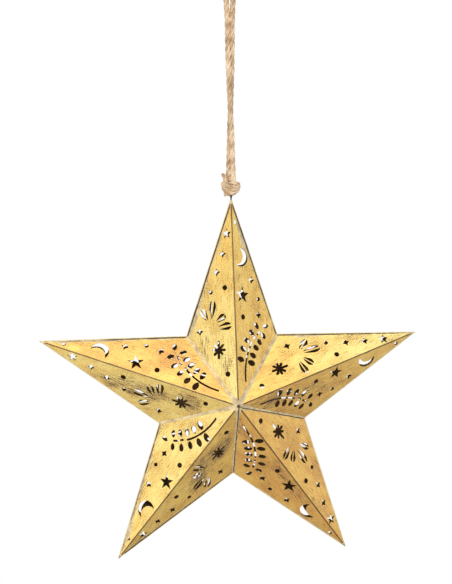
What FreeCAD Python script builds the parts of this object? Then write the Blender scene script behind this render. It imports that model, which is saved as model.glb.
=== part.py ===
import FreeCAD, Part
import Sketcher
import math
import os

# Hanging five-pointed star of pierced tin.
# Ten folded panels, five in front and five behind, are soldered into a hollow star.
# A wire eye at the top tip hangs in the bight of a knotted jute cord loop.
# Millimetres, +Z up, the front faces -Y, the origin is the point where the loop rests on its hook.

ARMS = ("top", "right", "lower_right", "lower_left", "left")
VALLEYS = ("upper_right", "right", "bottom", "left", "upper_left")
SECTOR = 360.0 / len(ARMS)
HALF_SECTOR = SECTOR / 2

# Driving dimensions. They go into the spreadsheet, and everything else reads them there.
SIZES = {
    # Star
    "star_radius": 158.0,
    "valley_radius": 61.6,
    "half_depth": 35.0,
    "sheet_thickness": 0.4,
    # Solder
    "solder_thickness": 0.3,
    "valley_seam_width": 5.0,
    "rim_seam_depth": 1.5,
    "tip_solder_length": 8.0,
    "apex_solder_diameter": 12.0,
    # Wire eye
    "wire_diameter": 1.2,
    "eye_seat_depth": 0.2,
    "shank_diameter": 1.0,
    "shank_length": 14.0,
    # Cord
    "cord_diameter": 3.4,
    "tip_drop": 176.0,
    "bight_radius": 3.0,
    "knot_width": 15.6,
    "knot_depth": 9.4,
    "knot_height": 5.6,
    "turn_diameter": 3.0,
    "turn_reach": 5.9,
    "turn_depth": 5.6,
    "turn_drop": 5.8,
    "tail_diameter": 3.0,
    "tail_height": 10.0,
    "running_gap": 0.3,
    "knot_gap": 0.6,
    # Overrun of every cutting solid
    "cut_overrun": 2.0,
}

# The pierced pattern of one arm. Places are (across, along) shares of the facet's width and of
# the fold's length. Sizes are shares of the pattern unit, the smaller of the facet's width and
# the share of the fold's length given here.
UNIT_PER_FOLD_SHARE = 0.267

DOT_SHARE = 0.047
DOT_SIDES = 8
SMALL_DOT_SHARE = 0.038
SMALL_DOT_SIDES = 6
SPARKLE_SHARES = (0.068, 0.036)
TIP_STAR_SHARES = (0.098, 0.045)
BIG_STAR_SHARES = (0.150, 0.063)
FLOWER_RAYS = 8
FLOWER_REACH_SHARE = 0.130
FLOWER_LONG_REACH_SHARE = 0.168
FLOWER_CORE_SHARE = 0.064
FLOWER_RAY_WIDTH_SHARE = 0.050

SUN_DOTS = (((0.192, 0.568), DOT_SHARE), ((0.468, 0.552), SMALL_DOT_SHARE), ((0.181, 0.151), DOT_SHARE))
SUN_SPARKLES = ((0.211, 0.732), (0.341, 0.644), (0.711, 0.362))
TIP_STAR_PLACE = (0.118, 0.828)
FLOWER_PLACE = (0.350, 0.268)

SUN_PLACE = (0.475, 0.374)
SUN_RIM_SHARE = 0.150
RAY_LENGTH_SHARE = 0.250
RAY_WIDTH_SHARE = 0.054
RAY_RIB_SHARE = 0.026
# Each ray: angle of its foot on the sun's rim, its heading, and its foot and length as shares.
SUN_RAYS = ((2.0, 10.0, 0.93, 1.00), (50.0, 35.0, 1.00, 0.84), (87.0, 86.0, 1.20, 1.28), (119.0, 120.0, 1.12, 0.95))

MOON_DOTS = (((0.090, 0.887), SMALL_DOT_SHARE), ((0.563, 0.512), SMALL_DOT_SHARE), ((0.183, 0.421), DOT_SHARE))
MOON_SPARKLES = ((0.419, 0.608), (0.554, 0.438))
BIG_STAR_PLACE = (0.185, 0.531)
MOON_PLACE = (0.172, 0.714)
MOON_RADIUS_SHARE = 0.168
MOON_WIDTH_SHARE = 0.114
MOON_HEADING = -14.0
MOON_HORN_ANGLE = 112.0
MOON_CHORDS = 7

# The fern's stem is an arc through three places. Pairs of leaves stand at equal steps on it.
STEM_PLACES = ((0.186, 0.114), (0.270, 0.249), (0.578, 0.358))
STEM_WIDTH_SHARE = 0.038
STEM_SLOT_SHARES = ((0.0, 0.73), (0.79, 0.86), (0.895, 1.0))
STEM_CHORDS = (3, 1, 1)
LEAF_PAIRS = 5
FIRST_LEAF_SHARE = 0.365
LEAF_STEP_SHARE = 0.160
LEAF_OFFSET_SHARE = 0.74
LEAF_LENGTH_SHARE = 1.02
LEAF_WIDTH_SHARE = 0.62
LEAF_TAPER_SHARE = 0.045
END_LEAF_DROOP = 20.0

# Half of a cut sliver and half of a leaf, as (along, aside) shares of its length and width.
SLIVER_SHARES = ((0.0, 0.0), (1.0, 0.0), (0.96, 0.55), (0.55, 1.0), (0.08, 0.45))
LEAF_SHARES = ((-0.5, 0.0), (0.05, 0.5), (0.5, 0.22), (0.5, -0.22), (0.05, -0.5))

# Cord and wire are drawn with this many flat sides.
CORD_SIDES = 6
KNOT_SIDES = 10
WIRE_SIDES = 6

# The knot's rings from its left end to its right: places as shares of its width, and girths as
# shares of its height and depth.
KNOT_SHARES = ((-0.5, 0.36), (-0.42, 0.64), (-0.24, 0.94), (0.0, 1.0), (0.24, 0.92), (0.42, 0.62), (0.5, 0.34))

# Route of the cord loop, up from the knot, over the hook and down again.
CORD_ROUTE = (
    (1.69, -0.98, -163.2),
    (0.75, -1.80, -132.0),
    (-0.50, -1.88, -103.0),
    (-1.55, -1.19, -72.0),
    (-1.95, 0.0, -29.0),
    (-4.83, 0.0, -0.51),
    (0.0, 0.0, 2.41),
    (4.83, 0.0, -0.51),
    (1.95, 0.0, -29.0),
    (1.55, 1.19, -72.0),
    (0.50, 1.88, -103.0),
    (-0.75, 1.80, -132.0),
    (-1.69, 0.98, -163.2),
)
ARC_SHARE = 0.45

X_AXIS = FreeCAD.Vector(1, 0, 0)
Y_AXIS = FreeCAD.Vector(0, 1, 0)
Z_AXIS = FreeCAD.Vector(0, 0, 1)
ORIGIN = FreeCAD.Vector(0, 0, 0)


def make_sheet(doc):
    """Write the driving dimensions into the spreadsheet."""
    sheet = doc.addObject("Spreadsheet::Sheet", "sizes")
    for row, (alias, value) in enumerate(SIZES.items(), start=1):
        sheet.set(f"A{row}", alias)
        sheet.set(f"B{row}", str(value))
        sheet.setAlias(f"B{row}", alias)
    doc.recompute()
    return sheet


def bind(obj, **expressions):
    """Bind properties of an object to expressions, with a dot in a path written as two underscores."""
    for path, expression in expressions.items():
        obj.setExpression(path.replace("__", "."), expression)
    return obj


def origin_plane(body, role):
    return next(plane for plane in body.Origin.OriginFeatures if plane.Role == role)


def rotation(axis, degrees):
    return FreeCAD.Rotation(axis, degrees)


# Expressions that several pieces share.
SIN_HALF = f"sin({HALF_SECTOR})"
COS_HALF = f"cos({HALF_SECTOR})"
FOLD_RISE = "atan2(sizes.star_radius; sizes.half_depth)"
FACET_TILT = (
    f"atan2(sizes.half_depth * (sizes.star_radius - sizes.valley_radius * {COS_HALF}); "
    f"hypot(sizes.star_radius; sizes.half_depth) * sizes.valley_radius * {SIN_HALF})"
)
EYE_RING_RADIUS = "(sizes.cord_diameter / 2 + sizes.running_gap + sizes.wire_diameter / 2)"
EYE_HEIGHT = f"(sizes.star_radius + {EYE_RING_RADIUS} + sizes.wire_diameter / 2 - sizes.eye_seat_depth)"


class Facet:
    """One flat facet of an arm, laid out with the fold along Y and the valley corner to one side."""

    def __init__(self, size, side):
        half = math.radians(HALF_SECTOR)
        radius, valley, depth = size("star_radius"), size("valley_radius"), size("half_depth")
        self.side = side
        self.fold = math.hypot(radius, depth)
        valley_length = math.hypot(valley, depth)
        rim = math.hypot(radius - valley * math.cos(half), valley * math.sin(half))
        corner = (valley_length ** 2 + self.fold ** 2 - rim ** 2) / (2 * self.fold)
        self.width = math.sqrt(valley_length ** 2 - corner ** 2)
        self.unit = min(self.width, UNIT_PER_FOLD_SHARE * self.fold)

    def place(self, place):
        across, along = place
        return FreeCAD.Vector(across * self.width, along * self.fold, 0)

    def flip(self, points):
        return [FreeCAD.Vector(self.side * point.x, point.y, 0) for point in points]

    def outline(self, points):
        corners = self.flip(points)
        return [Part.LineSegment(a, b) for a, b in zip(corners, corners[1:] + corners[:1])]


def polar(centre, radius, degrees):
    angle = math.radians(degrees)
    return centre + FreeCAD.Vector(radius * math.cos(angle), radius * math.sin(angle), 0)


def round_hole(facet, place, radius_share):
    centre = facet.place(place)
    sides = SMALL_DOT_SIDES if radius_share <= SMALL_DOT_SHARE else DOT_SIDES
    return facet.outline([polar(centre, radius_share * facet.unit, 360.0 * i / sides) for i in range(sides)])


def pointed_hole(facet, place, shares, points):
    """A star of straight pointed rays."""
    outer, inner = shares
    centre = facet.place(place)
    corners = []
    for i in range(points):
        corners.append(polar(centre, outer * facet.unit, 90 + 360.0 * i / points))
        corners.append(polar(centre, inner * facet.unit, 90 + 360.0 * (i + 0.5) / points))
    return facet.outline(corners)


def flower(facet):
    """Blunt rays round a core. The pair along the fold is longer."""
    centre = facet.place(FLOWER_PLACE)
    corners = []
    for i in range(FLOWER_RAYS):
        heading = 90 + 360.0 * i / FLOWER_RAYS
        reach = FLOWER_REACH_SHARE if i % (FLOWER_RAYS // 2) else FLOWER_LONG_REACH_SHARE
        end = polar(centre, reach * facet.unit, heading)
        for hand in (-1, 1):
            corners.append(polar(end, FLOWER_RAY_WIDTH_SHARE * facet.unit / 2, heading + 90 * hand))
        corners.append(polar(centre, FLOWER_CORE_SHARE * facet.unit, heading + 180.0 / FLOWER_RAYS))
    return facet.outline(corners)


def sun_ray(facet, foot_angle, heading, foot, length):
    """Two slivers with a rib of tin left between them."""
    start = polar(facet.place(SUN_PLACE), foot * SUN_RIM_SHARE * facet.unit, 180 - foot_angle)
    angle = 180 - heading
    edges = []
    for hand in (1, -1):
        corners = []
        for along, aside in SLIVER_SHARES:
            forward = polar(start, along * length * RAY_LENGTH_SHARE * facet.unit, angle)
            sideways = (RAY_RIB_SHARE / 2 + aside * RAY_WIDTH_SHARE) * facet.unit
            corners.append(polar(forward, sideways, angle + 90 * hand))
        edges += facet.outline(corners)
    return edges


class Bow:
    """The arc through three places, read by shares of its length and cut as short chords."""

    def __init__(self, start, middle, end):
        circle = Part.ArcOfCircle(start, middle, end)
        self.centre = circle.Center
        self.radius = circle.Radius
        self.start_angle = self.angle_to(start)
        self.sweep = self.angle_to(end) - self.start_angle
        if (self.angle_to(middle) - self.start_angle) / self.sweep < 0:
            self.sweep -= math.copysign(360.0, self.sweep)
        self.length = math.radians(abs(self.sweep)) * self.radius

    def angle_to(self, point):
        return math.degrees(math.atan2(point.y - self.centre.y, point.x - self.centre.x)) % 360.0

    def angle(self, share):
        return self.start_angle + share * self.sweep

    def point(self, share, offset=0.0):
        return polar(self.centre, self.radius + offset, self.angle(share))

    def chords(self, count, low=0.0, high=1.0, offset=0.0):
        return [self.point(low + (high - low) * i / count, offset) for i in range(count + 1)]


def crescent(facet):
    """The moon: its outer and inner bows meet at the horns."""
    centre = facet.place(MOON_PLACE)
    radius = MOON_RADIUS_SHARE * facet.unit
    horns = [polar(centre, radius, MOON_HEADING + hand * MOON_HORN_ANGLE) for hand in (1, -1)]
    outer = Bow(horns[0], polar(centre, radius, MOON_HEADING), horns[1])
    inner = Bow(horns[1], polar(centre, radius - MOON_WIDTH_SHARE * facet.unit, MOON_HEADING), horns[0])
    return facet.outline(outer.chords(MOON_CHORDS)[:-1] + inner.chords(MOON_CHORDS)[:-1])


def fern(facet):
    """A slotted stem with bridges, pairs of leaves and one end leaf."""
    stem = Bow(*[facet.place(place) for place in STEM_PLACES])
    half_width = STEM_WIDTH_SHARE * facet.unit / 2
    edges = []
    for chords, (low, high) in zip(STEM_CHORDS, STEM_SLOT_SHARES):
        inner = stem.chords(chords, low, high, -half_width)
        outer = stem.chords(chords, high, low, half_width)
        edges += facet.outline(inner + outer)
    step = LEAF_STEP_SHARE * stem.length
    for i in range(LEAF_PAIRS):
        share = FIRST_LEAF_SHARE + i * LEAF_STEP_SHARE
        for hand in (1, -1):
            centre = stem.point(share, hand * LEAF_OFFSET_SHARE * step)
            heading = stem.angle(share) + (0 if hand > 0 else 180)
            edges += leaf(facet, centre, heading, step * (1 - i * LEAF_TAPER_SHARE))
    end_share = FIRST_LEAF_SHARE + LEAF_PAIRS * LEAF_STEP_SHARE
    heading = stem.angle(end_share) - 90 - END_LEAF_DROOP
    edges += leaf(facet, stem.point(end_share), heading, step * (1 - LEAF_PAIRS * LEAF_TAPER_SHARE))
    return edges


def leaf(facet, centre, heading, step):
    corners = []
    for along, aside in LEAF_SHARES:
        forward = polar(centre, along * LEAF_LENGTH_SHARE * step, heading)
        corners.append(polar(forward, aside * LEAF_WIDTH_SHARE * step, heading + 90))
    return facet.outline(corners)


def sun_side_pattern(facet):
    edges = pointed_hole(facet, TIP_STAR_PLACE, TIP_STAR_SHARES, 5)
    edges += flower(facet)
    for place, share in SUN_DOTS:
        edges += round_hole(facet, place, share)
    for place in SUN_SPARKLES:
        edges += pointed_hole(facet, place, SPARKLE_SHARES, 4)
    for ray in SUN_RAYS:
        edges += sun_ray(facet, *ray)
    return edges


def moon_side_pattern(facet):
    edges = crescent(facet)
    edges += pointed_hole(facet, BIG_STAR_PLACE, BIG_STAR_SHARES, 5)
    for place, share in MOON_DOTS:
        edges += round_hole(facet, place, share)
    for place in MOON_SPARKLES:
        edges += pointed_hole(facet, place, SPARKLE_SHARES, 4)
    return edges + fern(facet)


def kite_sketch(body, name):
    """The arm's plan in the star's middle plane: centre, right valley, tip, left valley."""
    sketch = body.newObject("Sketcher::SketchObject", name)
    sketch.AttachmentSupport = (origin_plane(body, "XZ_Plane"), [""])
    sketch.MapMode = "FlatFace"
    size = body.Document.sizes.get
    half = math.radians(HALF_SECTOR)
    valley, tip = float(size("valley_radius")), float(size("star_radius"))
    side, up = valley * math.sin(half), valley * math.cos(half)
    corners = [ORIGIN, FreeCAD.Vector(side, up, 0), FreeCAD.Vector(0, tip, 0), FreeCAD.Vector(-side, up, 0)]
    for start, end in zip(corners, corners[1:] + corners[:1]):
        sketch.addGeometry(Part.LineSegment(start, end), False)
    for line in range(4):
        sketch.addConstraint(Sketcher.Constraint("Coincident", line, 2, (line + 1) % 4, 1))
    sketch.addConstraint(Sketcher.Constraint("Coincident", 0, 1, -1, 1))
    sketch.addConstraint(Sketcher.Constraint("PointOnObject", 1, 2, -2))
    sketch.addConstraint(Sketcher.Constraint("Symmetric", 0, 2, 2, 2, -2))
    across = sketch.addConstraint(Sketcher.Constraint("DistanceX", -1, 1, 0, 2, side))
    along = sketch.addConstraint(Sketcher.Constraint("DistanceY", -1, 1, 0, 2, up))
    reach = sketch.addConstraint(Sketcher.Constraint("DistanceY", -1, 1, 1, 2, tip))
    sketch.setExpression(f"Constraints[{across}]", f"sizes.valley_radius * {SIN_HALF}")
    sketch.setExpression(f"Constraints[{along}]", f"sizes.valley_radius * {COS_HALF}")
    sketch.setExpression(f"Constraints[{reach}]", "sizes.star_radius")
    return sketch


def point_sketch(body, name, sign):
    """The apex, half the star's depth in front of or behind its middle plane."""
    sketch = body.newObject("Sketcher::SketchObject", name)
    sketch.AttachmentSupport = (origin_plane(body, "XZ_Plane"), [""])
    sketch.MapMode = "FlatFace"
    sketch.addGeometry(Part.Point(ORIGIN), False)
    bind(sketch, AttachmentOffset__Base__z=f"{sign} * sizes.half_depth")
    return sketch


def pyramid(body, name, profile, apex):
    loft = body.newObject("PartDesign::AdditiveLoft", name)
    loft.Profile = (profile, [""])
    loft.Sections = [(apex, [""])]
    loft.Ruled = True
    body.Document.recompute()
    return loft


def tilted_plane(body, name):
    """A plane through the fold, square to the arm's middle."""
    plane = body.newObject("PartDesign::Plane", name)
    plane.AttachmentSupport = (origin_plane(body, "XY_Plane"), [""])
    plane.MapMode = "FlatFace"
    plane.AttachmentOffset = FreeCAD.Placement(ORIGIN, rotation(X_AXIS, 1))
    bind(plane, AttachmentOffset__Base__y="-sizes.half_depth", AttachmentOffset__Rotation__Angle=FOLD_RISE)
    return plane


def pierce(body, plane, name, side, pattern, size):
    """Cut one facet's pattern through the sheet, square to the facet."""
    sketch = body.newObject("Sketcher::SketchObject", f"{name}_outlines")
    sketch.AttachmentSupport = (plane, [""])
    sketch.MapMode = "FlatFace"
    sketch.AttachmentOffset = FreeCAD.Placement(ORIGIN, rotation(Y_AXIS, side))
    bind(sketch, AttachmentOffset__Rotation__Angle=f"{side} * {FACET_TILT}")
    sketch.addGeometry(pattern(Facet(size, side)), False)
    body.Document.recompute()
    before = body.Tip.Shape.Volume
    pocket = body.newObject("PartDesign::Pocket", name)
    pocket.Profile = (sketch, [""])
    pocket.Midplane = True
    bind(pocket, Length="4 * sizes.sheet_thickness")
    body.Document.recompute()
    if not pocket.Shape.Volume < before:
        raise RuntimeError(f"{name} cuts nothing")
    return pocket


def make_panel(doc, size):
    """One folded and pierced panel: a four-sided pyramid hollowed to the sheet's thickness."""
    body = doc.addObject("PartDesign::Body", "panel_blank")
    plan = kite_sketch(body, "panel_plan")
    loft = pyramid(body, "panel_form", plan, point_sketch(body, "panel_apex", 1))
    centre = Part.Vertex(ORIGIN)
    inside = [f"Face{i}" for i, face in enumerate(loft.Shape.Faces, start=1) if face.distToShape(centre)[0] < 1e-6]
    sheet = body.newObject("PartDesign::Thickness", "panel_sheet")
    sheet.Base = (loft, inside)
    sheet.Join = "Intersection"
    sheet.Reversed = True
    bind(sheet, Value="sizes.sheet_thickness")
    doc.recompute()
    plane = tilted_plane(body, "fold_plane")
    pierce(body, plane, "moon_side_cut", 1, moon_side_pattern, size)
    pierce(body, plane, "sun_side_cut", -1, sun_side_pattern, size)
    return body


def star_outline(body, name):
    """The whole star's plan: tips and valleys in turn."""
    sketch = body.newObject("Sketcher::SketchObject", name)
    sketch.AttachmentSupport = (origin_plane(body, "XZ_Plane"), [""])
    sketch.MapMode = "FlatFace"
    size = body.Document.sizes.get
    reaches = {"star_radius": float(size("star_radius")), "valley_radius": float(size("valley_radius"))}
    aliases = ("star_radius", "valley_radius") * len(ARMS)
    corners = [polar(ORIGIN, reaches[alias], 90 - i * HALF_SECTOR) for i, alias in enumerate(aliases)]
    for start, end in zip(corners, corners[1:] + corners[:1]):
        sketch.addGeometry(Part.LineSegment(start, end), False)
    for line, alias in enumerate(aliases):
        sketch.addConstraint(Sketcher.Constraint("Coincident", line, 2, (line + 1) % len(corners), 1))
    for line, alias in enumerate(aliases):
        angle = 90 - line * HALF_SECTOR
        corner = corners[line]
        across = sketch.addConstraint(Sketcher.Constraint("DistanceX", -1, 1, line, 1, corner.x))
        along = sketch.addConstraint(Sketcher.Constraint("DistanceY", -1, 1, line, 1, corner.y))
        sketch.setExpression(f"Constraints[{across}]", f"sizes.{alias} * cos({angle})")
        sketch.setExpression(f"Constraints[{along}]", f"sizes.{alias} * sin({angle})")
    return sketch


def make_core(doc):
    """The star's outer form as a plain solid, which the solder is laid on."""
    body = doc.addObject("PartDesign::Body", "star_form")
    plan = star_outline(body, "star_plan")
    pyramid(body, "front_form", plan, point_sketch(body, "front_apex", 1))
    pyramid(body, "back_form", plan, point_sketch(body, "back_apex", -1))
    return body


def make_skin(doc, core):
    """A layer of solder's thickness all over the star, from which each seam is taken."""
    grown = doc.addObject("Part::Offset", "grown_form")
    grown.Source = core
    grown.Join = "Intersection"
    bind(grown, Value="sizes.solder_thickness")
    skin = doc.addObject("Part::Cut", "solder_skin")
    skin.Base = grown
    skin.Tool = core
    doc.recompute()
    return skin


def make_box(doc, name, degrees=0.0, **expressions):
    """A block centred on X, turned about Y to lie along an arm or a valley."""
    box = doc.addObject("Part::Box", name)
    bind(box, **expressions)
    if degrees:
        turned = doc.addObject("Part::Compound", f"{name}_turned")
        turned.Links = [box]
        turned.Placement = FreeCAD.Placement(ORIGIN, rotation(Y_AXIS, degrees))
        return turned
    return box


def boolean(doc, kind, name, first, second):
    result = doc.addObject(kind, name)
    result.Base = first
    result.Tool = second
    return result


def mirrored(doc, name, source, normal):
    mirror = doc.addObject("Part::Mirroring", name)
    mirror.Source = source
    mirror.Normal = normal
    return mirror


def make_valley_seam(doc, skin):
    """Solder along one valley, from the apex solder to the rim."""
    block = make_box(
        doc, "valley_block", HALF_SECTOR,
        Length="sizes.valley_seam_width",
        Width="sizes.half_depth + sizes.cut_overrun - sizes.rim_seam_depth",
        Height="sizes.valley_radius + sizes.cut_overrun - sizes.apex_solder_diameter / 2",
        Placement__Base__x="-sizes.valley_seam_width / 2",
        Placement__Base__y="-sizes.half_depth - sizes.cut_overrun",
        Placement__Base__z="sizes.apex_solder_diameter / 2",
    )
    return boolean(doc, "Part::Common", "valley_solder", skin, block)


def make_rim_seam(doc, skin):
    """Solder along the edge where front and back meet, from the valley to the tip's solder."""
    body = doc.addObject("PartDesign::Body", "rim_block")
    sketch = body.newObject("Sketcher::SketchObject", "rim_block_plan")
    sketch.AttachmentSupport = (origin_plane(body, "XZ_Plane"), [""])
    sketch.MapMode = "FlatFace"
    tip, valley = "(sizes.star_radius - sizes.tip_solder_length)", "(sizes.valley_radius + 2 * sizes.cut_overrun)"
    shoulder = f"(sizes.tip_solder_length * {SIN_HALF} + 2 * sizes.cut_overrun)"
    places = (
        ("0 * sizes.star_radius", "0 * sizes.star_radius"),
        (f"{valley} * {SIN_HALF}", f"{valley} * {COS_HALF}"),
        (shoulder, tip),
        ("0 * sizes.star_radius", tip),
    )
    size = {alias: float(doc.sizes.get(alias)) for alias in SIZES}
    half = math.radians(HALF_SECTOR)
    tip_at = size["star_radius"] - size["tip_solder_length"]
    valley_at = size["valley_radius"] + 2 * size["cut_overrun"]
    shoulder_at = size["tip_solder_length"] * math.sin(half) + 2 * size["cut_overrun"]
    corners = [
        ORIGIN,
        FreeCAD.Vector(valley_at * math.sin(half), valley_at * math.cos(half), 0),
        FreeCAD.Vector(shoulder_at, tip_at, 0),
        FreeCAD.Vector(0, tip_at, 0),
    ]
    for start, end in zip(corners, corners[1:] + corners[:1]):
        sketch.addGeometry(Part.LineSegment(start, end), False)
    for line in range(4):
        sketch.addConstraint(Sketcher.Constraint("Coincident", line, 2, (line + 1) % 4, 1))
    sketch.addConstraint(Sketcher.Constraint("Coincident", 0, 1, -1, 1))
    sketch.addConstraint(Sketcher.Constraint("PointOnObject", 3, 1, -2))
    for line, corner, (across, along) in list(zip(range(4), corners, places))[1:]:
        if corner.x:
            index = sketch.addConstraint(Sketcher.Constraint("DistanceX", -1, 1, line, 1, corner.x))
            sketch.setExpression(f"Constraints[{index}]", across)
        index = sketch.addConstraint(Sketcher.Constraint("DistanceY", -1, 1, line, 1, corner.y))
        sketch.setExpression(f"Constraints[{index}]", along)
    pad = body.newObject("PartDesign::Pad", "rim_block_pad")
    pad.Profile = (sketch, [""])
    pad.Midplane = True
    bind(pad, Length="2 * sizes.rim_seam_depth")
    doc.recompute()
    return boolean(doc, "Part::Common", "rim_solder", skin, body)


def make_tip_solder(doc, skin):
    block = make_box(
        doc, "tip_block",
        Length="2 * sizes.tip_solder_length",
        Width="2 * sizes.tip_solder_length",
        Height="sizes.tip_solder_length + sizes.solder_thickness",
        Placement__Base__x="-sizes.tip_solder_length",
        Placement__Base__y="-sizes.tip_solder_length",
        Placement__Base__z="sizes.star_radius - sizes.tip_solder_length",
    )
    return boolean(doc, "Part::Common", "tip_solder", skin, block)


def make_apex_solder(doc, skin):
    disc = doc.addObject("Part::Prism", "apex_disc")
    disc.Polygon = 2 * len(ARMS)
    disc.Placement = FreeCAD.Placement(ORIGIN, rotation(X_AXIS, 90))
    bind(disc, Circumradius="sizes.apex_solder_diameter / 2", Height="sizes.half_depth + sizes.cut_overrun")
    return boolean(doc, "Part::Common", "apex_solder", skin, disc)


def make_eye(doc):
    """A ring of wire on a straight shank that runs down between the top panels."""
    section = doc.addObject("Part::RegularPolygon", "eye_section")
    section.Polygon = WIRE_SIDES
    section.Placement = FreeCAD.Placement(ORIGIN, rotation(X_AXIS, 90))
    bind(section, Circumradius="sizes.wire_diameter / 2", Placement__Base__z=f"{EYE_HEIGHT} + {EYE_RING_RADIUS}")
    ring = doc.addObject("Part::Revolution", "eye_ring")
    ring.Source = section
    ring.Axis = X_AXIS
    ring.Solid = True
    bind(ring, Base__z=EYE_HEIGHT)
    shank = doc.addObject("Part::Prism", "eye_shank")
    shank.Polygon = WIRE_SIDES
    bind(
        shank,
        Circumradius="sizes.shank_diameter / 2",
        Height=f"sizes.shank_length + {EYE_HEIGHT} - {EYE_RING_RADIUS} - sizes.star_radius",
        Placement__Base__z="sizes.star_radius - sizes.shank_length",
    )
    return boolean(doc, "Part::Fuse", "eye_wire", ring, shank)


def placed(doc, label, source, degrees=0.0):
    """A finished piece: its master turned clockwise about the star's centre and hung in place."""
    piece = doc.addObject("Part::Compound", f"{label}_piece")
    piece.Label = label
    piece.Links = [source]
    piece.Placement = FreeCAD.Placement(ORIGIN, rotation(Y_AXIS, degrees))
    bind(piece, Placement__Base__z="-sizes.tip_drop - sizes.star_radius")
    return piece


def tube(points, radius):
    """A round cord along straight runs joined by tangent arcs."""
    places = [FreeCAD.Vector(*point) for point in points]
    edges, start, radii = [], places[0], []
    for before, corner, after in zip(places, places[1:], places[2:]):
        into, out = corner - before, after - corner
        run = min(into.Length, out.Length)
        half_turn = into.getAngle(out) / 2
        reach = ARC_SHARE * run
        radii.append(reach / math.tan(half_turn))
        into.normalize()
        out.normalize()
        first, last = corner - into * reach, corner + out * reach
        centre_way = out - into
        centre_way.normalize()
        centre = corner + centre_way * (radii[-1] / math.cos(half_turn))
        middle = centre - centre_way * radii[-1]
        edges.append(Part.LineSegment(start, first).toShape())
        edges.append(Part.Arc(first, middle, last).toShape())
        start = last
    edges.append(Part.LineSegment(start, places[-1]).toShape())
    path = Part.Wire(edges)
    section = cord_section(radius, places[0], places[1] - places[0])
    solid = path.makePipeShell([section], True, False)
    expected = Part.Face(section).Area * path.Length
    print("cord radii", [round(value, 1) for value in radii], "volume share", round(solid.Volume / expected, 4))
    return solid


def cord_section(radius, centre, heading):
    """The cord's flat-sided section, square to its heading."""
    turn = FreeCAD.Rotation(Z_AXIS, heading)
    spokes = [polar(ORIGIN, radius, 360.0 * i / CORD_SIDES) for i in range(CORD_SIDES + 1)]
    return Part.makePolygon([centre + turn.multVec(spoke) for spoke in spokes])


def knot_centre(size):
    """Height of the knot's middle: just clear of the wire ring below it."""
    ring_top = -size("tip_drop") - size("eye_seat_depth") + 2 * eye_ring_radius(size) + size("wire_diameter")
    return ring_top + size("knot_gap") + size("knot_height") / 2


def eye_ring_radius(size):
    return size("cord_diameter") / 2 + size("running_gap") + size("wire_diameter") / 2


def flat_sided(rings):
    """A solid of flat faces through rings of points, with both ends closed."""
    outlines = [rings[0], rings[-1]]
    for ring, after in zip(rings, rings[1:]):
        for i in range(len(ring)):
            outlines.append([ring[i - 1], ring[i], after[i], after[i - 1]])
    faces = [Part.Face(Part.makePolygon(outline + outline[:1])) for outline in outlines]
    return Part.makeSolid(Part.makeShell(faces))


def make_knot(doc, size):
    """The knot's body and its two sagging turns, with one cut end standing beside the cord."""
    rings = []
    for place_share, girth_share in KNOT_SHARES:
        spokes = [polar(ORIGIN, girth_share / 2, 360.0 * i / KNOT_SIDES) for i in range(KNOT_SIDES)]
        across = place_share * size("knot_width")
        depth, height = size("knot_depth"), size("knot_height")
        rings.append([FreeCAD.Vector(across, spoke.x * depth, spoke.y * height) for spoke in spokes])
    body = doc.addObject("Part::Feature", "knot_body")
    body.Shape = flat_sided(rings)
    body.Placement = FreeCAD.Placement(FreeCAD.Vector(0, 0, knot_centre(size)), FreeCAD.Rotation())
    tail = doc.addObject("Part::Prism", "knot_tail")
    tail.Polygon = CORD_SIDES
    bind(tail, Circumradius="sizes.tail_diameter / 2", Height="sizes.tail_height")
    aside = size("cord_diameter") + size("knot_gap") + size("running_gap") + size("tail_diameter") / 2
    tail.Placement = FreeCAD.Placement(FreeCAD.Vector(-aside, 0, knot_centre(size)), FreeCAD.Rotation())
    tied = boolean(doc, "Part::Fuse", "knot_with_tail", body, tail)
    turns = boolean(doc, "Part::Fuse", "knot_turns", make_turn(doc, size, -1), make_turn(doc, size, 1))
    knot = boolean(doc, "Part::Fuse", "cord_knot_solid", tied, turns)
    knot.Label = "cord_knot"
    return knot


def make_turn(doc, size, hand):
    """A turn of cord that sags from end to end of the knot, before or behind the wire ring."""
    middle = knot_centre(size)
    ends = [FreeCAD.Vector(side * size("turn_reach"), 0, middle) for side in (-1, 1)]
    lowest = FreeCAD.Vector(0, hand * size("turn_depth"), middle - size("turn_drop"))
    arc = Part.Arc(ends[0], lowest, ends[1]).toShape()
    section = cord_section(size("turn_diameter") / 2, ends[0], arc.tangentAt(arc.FirstParameter))
    turn = doc.addObject("Part::Feature", "front_turn" if hand < 0 else "back_turn")
    turn.Shape = Part.Wire([arc]).makePipeShell([section], True, False)
    return turn


def make_bight(doc, size):
    """The turn of cord that carries the wire eye under the knot."""
    radius = size("bight_radius")
    bottom = -size("tip_drop") + eye_ring_radius(size) + size("wire_diameter") / 2 - size("eye_seat_depth")
    left, right = FreeCAD.Vector(-radius, 0, bottom + radius), FreeCAD.Vector(radius, 0, bottom + radius)
    arc = Part.Arc(left, FreeCAD.Vector(0, 0, bottom), right).toShape()
    section = cord_section(size("cord_diameter") / 2, left, Z_AXIS)
    bight = doc.addObject("Part::Feature", "bight_solid")
    bight.Label = "cord_bight"
    bight.Shape = Part.Wire([arc]).makePipeShell([section], True, False)
    return bight


def make_loop(doc, size):
    loop = doc.addObject("Part::Feature", "loop_solid")
    loop.Label = "cord_loop"
    loop.Shape = tube(CORD_ROUTE, size("cord_diameter") / 2)
    return loop


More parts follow.
